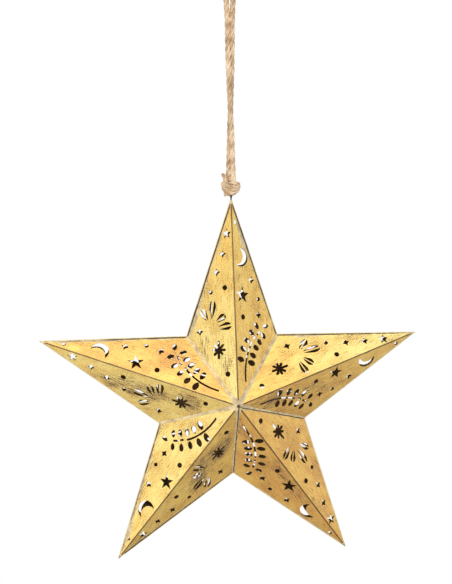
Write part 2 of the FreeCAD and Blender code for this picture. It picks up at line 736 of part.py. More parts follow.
def build(doc):
    """Make every piece and return the ones to be written."""
    sheet = make_sheet(doc)

    def size(alias):
        return float(sheet.get(alias))

    front = make_panel(doc, size)
    back = mirrored(doc, "back_panel_blank", front, Y_AXIS)
    skin = make_skin(doc, make_core(doc))
    eye = make_eye(doc)
    valley = make_valley_seam(doc, skin)
    rim = make_rim_seam(doc, skin)
    tip = make_tip_solder(doc, skin)
    apex = make_apex_solder(doc, skin)
    masters = {
        "front_panel": front,
        "back_panel": back,
        "tip_solder": tip,
    }
    pieces = []
    for kind, master in masters.items():
        notched = boolean(doc, "Part::Cut", f"{kind}_notched", master, eye)
        for i, arm in enumerate(ARMS):
            pieces.append(placed(doc, f"{kind}_{arm}", master if i else notched, i * SECTOR))
    rims = {"moon_side": rim, "sun_side": mirrored(doc, "rim_solder_sun_side", rim, X_AXIS)}
    for side, master in rims.items():
        pieces += [placed(doc, f"rim_seam_{arm}_{side}", master, i * SECTOR) for i, arm in enumerate(ARMS)]
    seams = {"front": valley, "back": mirrored(doc, "valley_solder_back", valley, Y_AXIS)}
    for face, master in seams.items():
        pieces += [placed(doc, f"{face}_valley_seam_{name}", master, i * SECTOR) for i, name in enumerate(VALLEYS)]
    pieces.append(placed(doc, "front_apex_solder", apex))
    pieces.append(placed(doc, "back_apex_solder", mirrored(doc, "apex_solder_back", apex, Y_AXIS)))
    pieces.append(placed(doc, "hanging_eye", eye))
    pieces += [make_knot(doc, size), make_bight(doc, size), make_loop(doc, size)]
    doc.recompute()
    return pieces


def check(doc, pieces):
    """Stop if any object failed or any piece isn't a sound solid."""
    for obj in doc.Objects:
        if "Invalid" in obj.State or "Error" in obj.State:
            raise RuntimeError(f"{obj.Name} failed: {obj.State}")
    for piece in pieces:
        shape = piece.Shape
        if shape.isNull() or not shape.isValid() or not shape.Solids:
            raise RuntimeError(f"{piece.Label} has no sound solid")


def main():
    doc = FreeCAD.newDocument("tin_star")
    pieces = build(doc)
    check(doc, pieces)
    os.makedirs("parts", exist_ok=True)
    for piece in pieces:
        piece.Shape.exportStep(f"parts/{piece.Label}.step")
    print(len(pieces), "pieces written")


main()
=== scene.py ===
import logging
import math
import random
from collections.abc import Callable, Iterable, Sequence
from dataclasses import dataclass
from enum import Enum

import bmesh
import bpy
from mathutils import Matrix, Vector, noise


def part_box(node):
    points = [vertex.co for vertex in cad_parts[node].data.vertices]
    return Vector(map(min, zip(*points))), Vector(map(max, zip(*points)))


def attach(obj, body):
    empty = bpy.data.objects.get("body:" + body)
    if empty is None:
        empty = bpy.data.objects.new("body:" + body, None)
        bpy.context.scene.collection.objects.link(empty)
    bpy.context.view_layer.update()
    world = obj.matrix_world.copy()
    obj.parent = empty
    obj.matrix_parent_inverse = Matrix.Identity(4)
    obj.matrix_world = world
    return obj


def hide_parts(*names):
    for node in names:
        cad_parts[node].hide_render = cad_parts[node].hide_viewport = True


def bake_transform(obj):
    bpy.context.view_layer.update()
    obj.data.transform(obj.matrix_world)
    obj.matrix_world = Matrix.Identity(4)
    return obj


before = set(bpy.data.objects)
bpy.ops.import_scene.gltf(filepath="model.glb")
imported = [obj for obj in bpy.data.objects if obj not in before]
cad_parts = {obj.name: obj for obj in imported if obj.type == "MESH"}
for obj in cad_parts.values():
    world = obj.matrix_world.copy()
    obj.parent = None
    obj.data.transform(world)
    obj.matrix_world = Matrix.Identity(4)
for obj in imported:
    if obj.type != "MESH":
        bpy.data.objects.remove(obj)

# A hanging five-pointed star of pierced and lacquered tin on a jute cord loop. The classes below
# build its panels, solder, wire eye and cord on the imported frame. Sizes are in millimetres.

LOG = logging.getLogger("tin_star")
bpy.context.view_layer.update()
MM = 0.001
SECTOR = 72.0
HALF_SECTOR = 36.0
HALF = math.radians(HALF_SECTOR)
WELD = 1e-4
SEED_STEPS = (7.31, 1.7)

# The inputs of a node that mixes two colours, by number.
SHARE, UNDER, OVER = 0, 6, 7

Mesh = bmesh.types.BMesh
Material = bpy.types.Material
Tree = bpy.types.NodeTree
Node = bpy.types.Node
Socket = bpy.types.NodeSocket
Outline = list[Vector]
Pair = tuple[float, float]
Triple = tuple[float, float, float]


class Part(Enum):
    """One of a set of like parts, which the frame's nodes are named by."""

    @property
    def label(self) -> str:
        """Return the part's name in the frame's nodes."""
        return self.name.lower()


class Arm(Part):
    """The five arms, clockwise from the one that hangs on the wire eye."""

    TOP = 0
    RIGHT = 1
    LOWER_RIGHT = 2
    LOWER_LEFT = 3
    LEFT = 4


class Valley(Part):
    """The five valleys, clockwise from the one between the top and the right arm."""

    UPPER_RIGHT = 0
    RIGHT = 1
    BOTTOM = 2
    LEFT = 3
    UPPER_LEFT = 4


class Face(Part):
    """The two halves of the star."""

    FRONT = 1
    BACK = -1


class Side(Part):
    """The two facets of an arm, by the pattern cut in each."""

    MOON = 1
    SUN = -1

    @property
    def label(self) -> str:
        """Return the side's name in the frame's nodes."""
        return f"{self.name.lower()}_side"


# Small tools


def linear(code: str) -> tuple[float, float, float, float]:
    """Turn an sRGB hex colour to linear values.

    Args:
        code: The colour, such as "#C89B5A".

    Returns:
        Red, green, blue and an alpha of 1.
    """
    values = [int(code[i : i + 2], 16) / 255 for i in (1, 3, 5)]
    red, green, blue = (v / 12.92 if v <= 0.04045 else ((v + 0.055) / 1.055) ** 2.4 for v in values)
    return red, green, blue, 1.0


def smooth(low: float, high: float, value: float) -> float:
    """Return 0 below low, 1 above high and a smooth rise between them."""
    share = min(max((value - low) / (high - low), 0.0), 1.0)
    return share * share * (3 - 2 * share)


def between(ends: Pair, share: float) -> float:
    """Return the value at a share of the way from the first end to the second."""
    return ends[0] + (ends[1] - ends[0]) * share


def polar(centre: Vector, radius: float, degrees: float) -> Vector:
    """Return the flat point at a radius and heading from a centre."""
    angle = math.radians(degrees)
    return centre + Vector((radius * math.cos(angle), radius * math.sin(angle), 0))


def flat_area(outline: Sequence[Vector]) -> float:
    """Return the area inside a flat outline."""
    pairs = zip(outline, [*outline[1:], outline[0]])
    return abs(sum(a.x * b.y - b.x * a.y for a, b in pairs)) / 2


def waves(seed: float, along: float, *sizes: Triple) -> float:
    """Return the sum of some smooth waves at a place on a line.

    Args:
        seed: Picks the waves.
        along: Place on the line in millimetres or degrees.
        *sizes: For each wave a step of the seed, its height, and its length in the same unit.

    Returns:
        The sum, about 0 on average.
    """
    total = 0.0
    for step, height, length in sizes:
        own = [(seed + step) * scale for scale in SEED_STEPS]
        total += height * noise.noise(Vector((along / length, *own)))
    return total


def add(tree: Tree, kind: str, inputs: dict | None = None, **settings: object) -> Node:
    """Add a node with its settings, values and links.

    Args:
        tree: The material's or world's node tree.
        kind: The node's type.
        inputs: For each input, by name or number, a value, the socket to link from, or the node
            whose first output in use is linked.
        **settings: The node's own properties.

    Returns:
        The new node.
    """
    node = tree.nodes.new(kind)
    for key, value in settings.items():
        setattr(node, key, value)
    for key, value in (inputs or {}).items():
        if isinstance(value, Node):
            value = next(socket for socket in value.outputs if socket.enabled)
        if isinstance(value, Socket):
            tree.links.new(value, node.inputs[key])
        else:
            node.inputs[key].default_value = value
    return node


def empty_material(name: str) -> Material:
    """Make a node material that has no nodes yet.

    Args:
        name: The material's name.

    Returns:
        The material.
    """
    material = bpy.data.materials.new(name)
    material.use_nodes = True
    material.node_tree.nodes.clear()
    return material


def show(name: str, data: bpy.types.ID) -> bpy.types.Object:
    """Put data in the scene.

    Args:
        name: The new object's name.
        data: Its mesh, curve, camera or lamp.

    Returns:
        The object.
    """
    item = bpy.data.objects.new(name, data)
    bpy.context.scene.collection.objects.link(item)
    return item


def shade_smooth(mesh: Mesh) -> None:
    """Shade every face of a mesh smooth."""
    for surface in mesh.faces:
        surface.smooth = True


def in_metres(mesh: Mesh) -> Mesh:
    """Scale a mesh from millimetres to metres and return it."""
    bmesh.ops.scale(mesh, verts=mesh.verts[:], vec=(MM, MM, MM))
    return mesh


def face_outwards(mesh: Mesh, near: Vector, outward: Vector) -> None:
    """Make the faces of an open sheet all look outwards.

    Args:
        mesh: The sheet.
        near: A place on it.
        outward: Where the sheet has to look at that place.
    """
    bmesh.ops.recalc_face_normals(mesh, faces=mesh.faces[:])
    sample = min(mesh.faces, key=lambda surface: (surface.calc_center_median() - near).length)
    if sample.normal.dot(outward) < 0:
        bmesh.ops.reverse_faces(mesh, faces=mesh.faces[:])


def grid_sheet(
    name: str,
    squares: tuple[int, int],
    place: Callable[[float, float], Vector],
    size: Pair,
    closed: bool = False,
) -> Mesh:
    """Shape a grid into a ribbon or tube, with a UV map in millimetres.

    Args:
        name: Name of the UV map.
        squares: Numbers of squares along it and across or round it.
        place: Gives the point at a share along and a share across.
        size: Real length and width or girth, for the UV map.
        closed: Whether the two long sides meet in a seam.

    Returns:
        The shaped mesh, in millimetres.
    """
    mesh = bmesh.new()
    layer = mesh.loops.layers.uv.new(name)
    bmesh.ops.create_grid(mesh, x_segments=squares[0], y_segments=squares[1], size=1.0)
    shares = {vert: ((vert.co.x + 1) / 2, (vert.co.y + 1) / 2) for vert in mesh.verts}
    shade_smooth(mesh)
    for loop in (loop for surface in mesh.faces for loop in surface.loops):
        along, aside = shares[loop.vert]
        loop[layer].uv = (along * size[0], aside * size[1])
    for vert, (along, aside) in shares.items():
        vert.co = place(along, aside)
    if closed:
        bmesh.ops.remove_doubles(mesh, verts=mesh.verts[:], dist=WELD)
    return mesh


class Track:
    """A line of points with turning frames, which tubes and plies are laid on."""

    def __init__(self, points: Sequence[Vector]) -> None:
        """Carry a frame along the points without twist.

        Args:
            points: Points on a smooth line, in millimetres.
        """
        self.points = [Vector(point) for point in points]
        self.lengths = [0.0]
        for before, after in zip(self.points, self.points[1:]):
            self.lengths.append(self.lengths[-1] + (after - before).length)
        headings = [
            (self.points[min(i + 1, len(points) - 1)] - self.points[max(i - 1, 0)]).normalized()
            for i in range(len(points))
        ]
        start = headings[0].orthogonal().normalized()
        self.frames = []
        for heading in headings:
            start = (start - heading * start.dot(heading)).normalized()
            self.frames.append((start, heading.cross(start)))

    @property
    def length(self) -> float:
        """Return the line's length in millimetres."""
        return self.lengths[-1]

    def beside(self, index: int, angle: float, reach: float) -> Vector:
        """Return the point at an angle and a distance from one of the line's points."""
        first, second = self.frames[index]
        return self.points[index] + (first * math.cos(angle) + second * math.sin(angle)) * reach


def tube(track: Track, radius: Callable[[float], float], sides: int) -> Mesh:
    """Skin a track with a round tube and close its ends.

    Args:
        track: The line that it follows.
        radius: Gives the radius at a share of the line.
        sides: Number of sides.

    Returns:
        The tube, in millimetres, with the UV map that yarn is dressed by.
    """
    last = len(track.points) - 1

    def place(along: float, aside: float) -> Vector:
        """Return the tube's point at a share along and a share round it."""
        return track.beside(round(along * last), math.tau * aside, radius(along))

    size = (track.length, math.tau * radius(0.5))
    mesh = grid_sheet("yarn", (last, sides), place, size, closed=True)
    ends = [edge for edge in mesh.edges if edge.is_boundary]
    bmesh.ops.holes_fill(mesh, edges=ends, sides=0)
    bmesh.ops.recalc_face_normals(mesh, faces=mesh.faces[:])
    return mesh


def join(meshes: Iterable[Mesh]) -> Mesh:
    """Put several meshes into one.

    Args:
        meshes: The meshes, which are freed.

    Returns:
        The joined mesh.
    """
    joined = bmesh.new()
    for mesh in meshes:
        held = bpy.data.meshes.new("held")
        mesh.to_mesh(held)
        mesh.free()
        joined.from_mesh(held)
        bpy.data.meshes.remove(held)
    return joined


def make_piece(name: str, mesh: Mesh, *materials: Material) -> bpy.types.Object:
    """Turn a finished mesh in metres into an object at the origin.

    Args:
        name: The piece's name.
        mesh: Its mesh, which is freed.
        *materials: Its materials in slot order.

    Returns:
        The object, linked to the scene.
    """
    data = bpy.data.meshes.new(name)
    mesh.to_mesh(data)
    mesh.free()
    for material in materials:
        data.materials.append(material)
    LOG.info("%s: %d faces", name, len(data.polygons))
    return show(name, data)


# Finishes


@dataclass(frozen=True)
class Grain:
    """Unevenness on a facet of tin, by the width and length of its patches."""

    wide_mm: float
    long_mm: float
    sheet_step: float
    detail: float
    roughness: float = 0.5

    @property
    def stretch(self) -> Triple:
        """Return what a place across, along and from sheet to sheet is multiplied by."""
        return 1 / self.wide_mm, 1 / self.long_mm, self.sheet_step


@dataclass(frozen=True)
class Layer:
    """How far one colour covers another: fully from one value of a noise or distance to the next."""

    start: float
    end: float
    most: float = 1.0


@dataclass(frozen=True)
class LacqueredTin:
    """Brushed tinplate under an amber lacquer, tinted unevenly and rubbed down in places.

    The brush runs along the fold, so gloss and tint break into fine streaks. Thin lacquer is a pale
    yellow and thick lacquer orange, with brown streaks and specks. The lacquer value on each facet is
    partly uneven lacquer and partly painted shade and light, darker or paler facet by facet. The fold
    is a dark line, and the rubbed places are dull and scratched.
    """

    pale: str = "#F4E292"
    amber: str = "#E9C468"
    orange: str = "#D69B4E"
    brown: str = "#8A6838"
    worn: str = "#A68A62"
    scratched: str = "#5C4228"
    crease: str = "#3E280E"
    metallic: float = 0.55
    roughness: Pair = (0.35, 0.51)
    coat: float = 0.4
    coat_roughness: float = 0.38
    relief: float = 0.25
    relief_mm: float = 0.02
    streak: Grain = Grain(0.8, 8.0, 9.0, 3.0)
    band: Grain = Grain(3.6364, 10.0, 11.7, 2.0)
    cloud: Grain = Grain(15.0, 25.0, 5.0, 3.0, 0.45)
    speckle: Grain = Grain(0.75, 0.75, 3.0, 2.0)
    tint_weights: Triple = (0.6, 0.55, 0.45)
    dust_weight: float = 0.45
    worn_weights: Triple = (2.2, 1.3, 1.4)
    crease_weight: float = 0.5
    tint: Layer = Layer(0.36, 1.24)
    gloss: Layer = Layer(0.3, 0.7)
    streaks: Layer = Layer(0.54, 0.74, 0.75)
    dust: Layer = Layer(0.765, 0.92, 0.9)
    rubbed_rim: Layer = Layer(5.5, 0.8)
    rubbed: Layer = Layer(0.50, 0.64, 0.85)
    scratches: Layer = Layer(0.42, 0.6)
    fold_line: Layer = Layer(1.03, 0.73, 0.9)
    rim_line: Layer = Layer(0.8, 0.1, 0.35)

    def make(self) -> Material:
        """Return the material, which reads the panel's own UV maps and attributes."""
        material = empty_material("amber_lacquered_tin")
        tree = material.node_tree
        seed, wear, rim_wear, tint = (
            add(tree, "ShaderNodeAttribute", attribute_name=name).outputs["Fac"]
            for name in ("sheet_seed", "wear", "rim_wear", "lacquer")
        )
        facet, edges = (
            add(tree, "ShaderNodeSeparateXYZ", {0: add(tree, "ShaderNodeUVMap", uv_map=name)})
            for name in ("facet", "edges")
        )
        across, rim = facet.outputs[0], edges.outputs[0]
        place = add(tree, "ShaderNodeCombineXYZ", {0: across, 1: facet.outputs[1], 2: seed})
        noises = []
        for grain in (self.streak, self.band, self.cloud, self.speckle):
            spot = add(tree, "ShaderNodeVectorMath", {0: place, 1: grain.stretch}, operation="MULTIPLY")
            inputs = {"Vector": spot, "Scale": 1.0, "Detail": grain.detail, "Roughness": grain.roughness}
            noises.append(add(tree, "ShaderNodeTexNoise", inputs))
        streak, band, cloud, speckle = noises

        # The tint starts from the lacquer value painted per facet, partly painted shade and light, and adds
        # noise.
        for source, weight in zip((cloud, band, speckle), self.tint_weights):
            tint = add(tree, "ShaderNodeMath", {0: source, 1: weight, 2: tint}, operation="MULTIPLY_ADD")
        wear = self.worn_through(tree, wear, rim_wear, rim, (speckle, cloud, streak))
        away = add(tree, "ShaderNodeMath", {0: across}, operation="ABSOLUTE")
        dust, fold = (
            add(tree, "ShaderNodeMath", {0: source, 1: weight, 2: rest}, operation="MULTIPLY_ADD")
            for source, weight, rest in ((cloud, self.dust_weight, speckle), (band, self.crease_weight, away))
        )

        amount = add(tree, "ShaderNodeMapRange", {0: tint, 1: self.tint.start, 2: self.tint.end})
        colour = add(tree, "ShaderNodeValToRGB", {0: amount})
        colour.color_ramp.elements[0].color = linear(self.pale)
        colour.color_ramp.elements[1].color = linear(self.orange)
        colour.color_ramp.elements.new(0.5).color = linear(self.amber)
        bare = self.covered(tree, self.scratches, streak, linear(self.worn), linear(self.scratched))
        for layer, source, over in (
            (self.streaks, streak, linear(self.brown)),
            (self.dust, dust, linear(self.brown)),
            (self.rubbed, wear, bare),
            (self.fold_line, fold, linear(self.crease)),
            (self.rim_line, rim, linear(self.brown)),
        ):
            colour = self.covered(tree, layer, source, colour, over)
        smoothest, roughest = self.roughness
        inputs = {0: streak, 1: self.gloss.start, 2: self.gloss.end, 3: smoothest, 4: roughest}
        shader = add(tree, "ShaderNodeBsdfPrincipled", {
            "Base Color": colour,
            "Metallic": self.metallic,
            "Roughness": add(tree, "ShaderNodeMapRange", inputs),
            "Normal": add(tree, "ShaderNodeBump", {
                "Height": streak,
                "Strength": self.relief,
                "Distance": self.relief_mm * MM,
            }),
            "Coat Weight": self.coat,
            "Coat Roughness": self.coat_roughness,
        })
        add(tree, "ShaderNodeOutputMaterial", {"Surface": shader})
        return material

    def covered(self, tree: Tree, layer: Layer, source: object, under: object, over: object) -> Node:
        """Lay one colour over another.

        Args:
            tree: The material's nodes.
            layer: How far it covers.
            source: The noise or distance that the layer goes by.
            under: The colour below, as a value or a node.
            over: The colour on top.

        Returns:
            The node of the mixed colour.
        """
        share = add(tree, "ShaderNodeMapRange", {0: source, 1: layer.start, 2: layer.end, 4: layer.most})
        return add(tree, "ShaderNodeMix", {SHARE: share, UNDER: under, OVER: over}, data_type="RGBA")

    def worn_through(
        self, tree: Tree, wear: Socket, rim_wear: Socket, rim: Socket, noises: Sequence[Node],
    ) -> Node:
        """Work out how far the lacquer is rubbed off.

        Args:
            tree: The material's nodes.
            wear: The wear painted on the sheet.
            rim_wear: The wear painted for the strip beside the rim.
            rim: Distance from the rim in millimetres.
            noises: Noise that breaks up the edge of the wear.

        Returns:
            The node of the total wear.
        """
        reach = add(tree, "ShaderNodeMapRange", {0: rim, 1: self.rubbed_rim.start, 2: self.rubbed_rim.end})
        strip = add(tree, "ShaderNodeMath", {0: reach, 1: rim_wear}, operation="MULTIPLY")
        total = add(tree, "ShaderNodeMath", {0: wear, 1: strip}, operation="MAXIMUM")
        for source, weight in zip(noises, self.worn_weights):
            centred = add(tree, "ShaderNodeMath", {0: source, 1: 0.5}, operation="SUBTRACT")
            total = add(tree, "ShaderNodeMath", {0: centred, 1: weight, 2: total}, operation="MULTIPLY_ADD")
        return total


@dataclass(frozen=True)
class PatchyMetal:
    """Metal without lacquer, of two colours in patches."""

    name: str
    first: str
    second: str
    patch_mm: float
    detail: float
    layer: Layer
    metallic: float
    roughness: float

    def make(self) -> Material:
        """Return the material."""
        material = empty_material(self.name)
        tree = material.node_tree
        inputs = {
            "Vector": add(tree, "ShaderNodeTexCoord").outputs["Object"],
            "Scale": 1 / (self.patch_mm * MM),
            "Detail": self.detail,
        }
        patches = add(tree, "ShaderNodeTexNoise", inputs)
        share = add(tree, "ShaderNodeMapRange", {0: patches, 1: self.layer.start, 2: self.layer.end})
        inputs = {SHARE: share, UNDER: linear(self.first), OVER: linear(self.second)}
        shader = add(tree, "ShaderNodeBsdfPrincipled", {
            "Base Color": add(tree, "ShaderNodeMix", inputs, data_type="RGBA"),
            "Metallic": self.metallic,
            "Roughness": self.roughness,
        })
        add(tree, "ShaderNodeOutputMaterial", {"Surface": shader})
        return material


# The inside of the tinplate, dark brown in patches as painted shade for the unlit hollow, so that it hardly
# shines.
SHADED_TIN_INSIDE = PatchyMetal(
    "stained_tin_inside", "#6A5030", "#8C6C42",
    patch_mm=14.0, detail=3.0, layer=Layer(0.0, 1.0), metallic=0.3, roughness=0.7,
)

# The cut edge of the tinplate, which glints where it is bright and is dull elsewhere.
SHEARED_EDGE = PatchyMetal(
    "sheared_tin_edge", "#D9C9A6", "#6B4F30",
    patch_mm=1.6, detail=2.0, layer=Layer(0.4, 0.62), metallic=0.85, roughness=0.35,
)

# Annealed iron wire, nearly black and matt, with spots of rust.
IRON_WIRE = PatchyMetal(
    "annealed_iron_wire", "#2A241E", "#5E4028",
    patch_mm=1.4, detail=3.0, layer=Layer(0.5, 0.7), metallic=0.4, roughness=0.6,
)


@dataclass(frozen=True)
class SoftSolder:
    """Tin and lead solder run along a seam, dull and pitted, in two pale tints.

    Brown flux stains it, and the amber lacquer gilds it where that has run over it.
    """

    pale: str = "#D4C4A2"
    grey: str = "#9E8E72"
    flux: str = "#463A20"
    gilt: str = "#EFDDA0"
    metallic: float = 0.3
    roughness: float = 0.55
    patch_mm: float = 5.0
    patches: Layer = Layer(0.35, 0.65)
    pit_mm: float = 1.1
    pit_depth_mm: float = 0.15
    relief: float = 0.5
    flux_weight: float = 0.7
    fluxed: Layer = Layer(0.7, 1.1)

    def make(self) -> Material:
        """Return the material, which reads how stained and how gilded each point is."""
        material = empty_material("soft_solder")
        tree = material.node_tree
        place = add(tree, "ShaderNodeTexCoord").outputs["Object"]
        stain, gilt = (
            add(tree, "ShaderNodeAttribute", attribute_name=name).outputs["Fac"] for name in ("stain", "gilt")
        )
        patches, pits = (
            add(tree, "ShaderNodeTexNoise", {"Vector": place, "Scale": 1 / (size * MM), "Detail": detail})
            for size, detail in ((self.patch_mm, 3.0), (self.pit_mm, 2.0))
        )
        inputs = {0: pits, 1: self.flux_weight, 2: stain}
        rough = add(tree, "ShaderNodeMath", inputs, operation="MULTIPLY_ADD")
        patch_share, flux_share = (
            add(tree, "ShaderNodeMapRange", {0: source, 1: layer.start, 2: layer.end})
            for source, layer in ((patches, self.patches), (rough, self.fluxed))
        )
        colour = linear(self.pale)
        for share, over in ((patch_share, self.grey), (gilt, self.gilt), (flux_share, self.flux)):
            inputs = {SHARE: share, UNDER: colour, OVER: linear(over)}
            colour = add(tree, "ShaderNodeMix", inputs, data_type="RGBA")
        inputs = {"Height": pits, "Strength": self.relief, "Distance": self.pit_depth_mm * MM}
        shader = add(tree, "ShaderNodeBsdfPrincipled", {
            "Base Color": colour,
            "Metallic": self.metallic,
            "Roughness": self.roughness,
            "Normal": add(tree, "ShaderNodeBump", inputs),
        })
        add(tree, "ShaderNodeOutputMaterial", {"Surface": shader})
        return material


@dataclass(frozen=True)
class JuteYarn:
    """Spun jute, matt and hairy, with pale and dark fibres that run along each ply."""

    light: str = "#EFDEC6"
    tan: str = "#CCB190"
    shade: str = "#82684C"
    fibre_mm: float = 0.22
    fibre_length_mm: float = 6.0
    patch_mm: float = 9.0
    shades: Layer = Layer(0.7, 1.3)
    relief: float = 0.8
    relief_mm: float = 0.1
    roughness: float = 0.85
    sheen: float = 0.3
    sheen_roughness: float = 0.5

    def make(self) -> Material:
        """Return the material, which reads the yarn's own UV map."""
        material = empty_material("spun_jute")
        tree = material.node_tree
        stretch = (1 / self.fibre_length_mm, 1 / self.fibre_mm, 1.0)
        yarn = add(tree, "ShaderNodeUVMap", uv_map="yarn")
        strands = add(tree, "ShaderNodeVectorMath", {0: yarn, 1: stretch}, operation="MULTIPLY")
        place = add(tree, "ShaderNodeTexCoord").outputs["Object"]
        fibre, patches = (
            add(tree, "ShaderNodeTexNoise", {"Vector": vector, "Scale": scale, "Detail": 2.0})
            for vector, scale in ((strands, 1.0), (place, 1 / (self.patch_mm * MM)))
        )
        both = add(tree, "ShaderNodeMath", {0: fibre, 1: patches}, operation="ADD")
        share = add(tree, "ShaderNodeMapRange", {0: both, 1: self.shades.start, 2: self.shades.end})
        colour = add(tree, "ShaderNodeValToRGB", {0: share})
        colour.color_ramp.elements[0].color = linear(self.shade)
        colour.color_ramp.elements[1].color = linear(self.light)
        colour.color_ramp.elements.new(0.5).color = linear(self.tan)
        inputs = {"Height": fibre, "Strength": self.relief, "Distance": self.relief_mm * MM}
        shader = add(tree, "ShaderNodeBsdfPrincipled", {
            "Base Color": colour,
            "Roughness": self.roughness,
            "Sheen Weight": self.sheen,
            "Sheen Roughness": self.sheen_roughness,
            "Normal": add(tree, "ShaderNodeBump", inputs),
        })
        add(tree, "ShaderNodeOutputMaterial", {"Surface": shader})
        return material


# The star's form


@dataclass(frozen=True)
class StarForm:
    """The star's plain form, as the frame has it, in millimetres."""

    radius: float
    valley: float
    depth: float
    centre: Vector

    @classmethod
    def measured(cls) -> "StarForm":
        """Return the form measured on the frame's panels."""
        low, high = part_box("front_panel_top")
        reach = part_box("front_panel_right")[1].x
        return cls(
            radius=reach / math.cos(math.radians(SECTOR / 4)) / MM,
            valley=high.x / math.sin(HALF) / MM,
            depth=-low.y / MM,
            centre=Vector((0, 0, low.z / MM)),
        )

    @property
    def apex(self) -> Vector:
        """Return the front apex from the star's centre."""
        return Vector((0, -self.depth, 0))

    @property
    def corner(self) -> Vector:
        """Return the right valley corner of the top arm."""
        return Vector((self.valley * math.sin(HALF), 0, self.valley * math.cos(HALF)))

    @property
    def tip(self) -> Vector:
        """Return the top arm's tip."""
        return Vector((0, 0, self.radius))

    @property
    def tip_slope(self) -> float:
        """Return how fast the top arm widens from its tip, to one side."""
        return self.corner.x / (self.radius - self.corner.z)

    @property
    def fold(self) -> float:
        """Return the length of a fold."""
        return (self.tip - self.apex).length

    @property
    def axes(self) -> tuple[Vector, Vector, Vector]:
        """Return the across, along and outward axes of the top arm's right front facet."""
        along = (self.tip - self.apex).normalized()
        spread = self.corner - self.apex
        across = (spread - along * spread.dot(along)).normalized()
        return across, along, across.cross(along)

    @property
    def flat_corner(self) -> Vector:
        """Return the valley corner in facet coordinates, across and along."""
        across, along, _ = self.axes
        spread = self.corner - self.apex
        return Vector((spread.dot(across), spread.dot(along), 0))

    @property
    def unit(self) -> float:
        """Return the pattern's unit of size."""
        return self.flat_corner.x

    def laid(self) -> Matrix:
        """Return the matrix from facet coordinates to the top arm's right front facet."""
        return Matrix.Translation(self.apex) @ Matrix(self.axes).transposed().to_4x4()

    def put(self, mesh: Mesh, arm: Arm, face: Face, side: Side) -> Mesh:
        """Move a mesh from the top arm's right front to its place.

        Args:
            mesh: The mesh, in millimetres about the star's centre.
            arm: The arm to go to.
            face: Front or back.
            side: The moon's or the sun's side.

        Returns:
            The mesh, in metres in the frame.
        """
        turn = Matrix.Rotation(math.radians(SECTOR * arm.value), 4, "Y")
        mirror = Matrix.Diagonal((side.value, face.value, 1, 1))
        place = Matrix.Scale(MM, 4) @ Matrix.Translation(self.centre) @ turn @ mirror
        bmesh.ops.transform(mesh, matrix=place, verts=mesh.verts[:])
        if side.value * face.value < 0:
            bmesh.ops.reverse_faces(mesh, faces=mesh.faces[:])
        return mesh


# The pierced pattern


class Bow:
    """The arc through three places, read by shares of its length."""

    def __init__(self, start: Vector, middle: Vector, end: Vector) -> None:
        """Find the circle through the three places.

        Args:
            start: The arc's first end.
            middle: A place on it.
            end: Its other end.
        """
        a, b = middle - start, end - start
        d = 2 * (a.x * b.y - a.y * b.x)
        ux = (b.y * a.length_squared - a.y * b.length_squared) / d
        uy = (a.x * b.length_squared - b.x * a.length_squared) / d
        self.centre = start + Vector((ux, uy, 0))
        self.radius = math.hypot(ux, uy)
        self.first = self.heading(start)
        self.sweep = self.heading(end) - self.first
        if (self.heading(middle) - self.first) / self.sweep < 0:
            self.sweep -= math.copysign(360.0, self.sweep)
        self.length = math.radians(abs(self.sweep)) * self.radius

    def heading(self, point: Vector) -> float:
        """Return a point's heading from the arc's centre, in degrees."""
        return math.degrees(math.atan2(point.y - self.centre.y, point.x - self.centre.x)) % 360.0

    def angle(self, share: float) -> float:
        """Return the heading at a share of the arc."""
        return self.first + share * self.sweep

    def point(self, share: float, offset: float = 0.0) -> Vector:
        """Return the point at a share of the arc, moved outwards by an offset."""
        return polar(self.centre, self.radius + offset, self.angle(share))


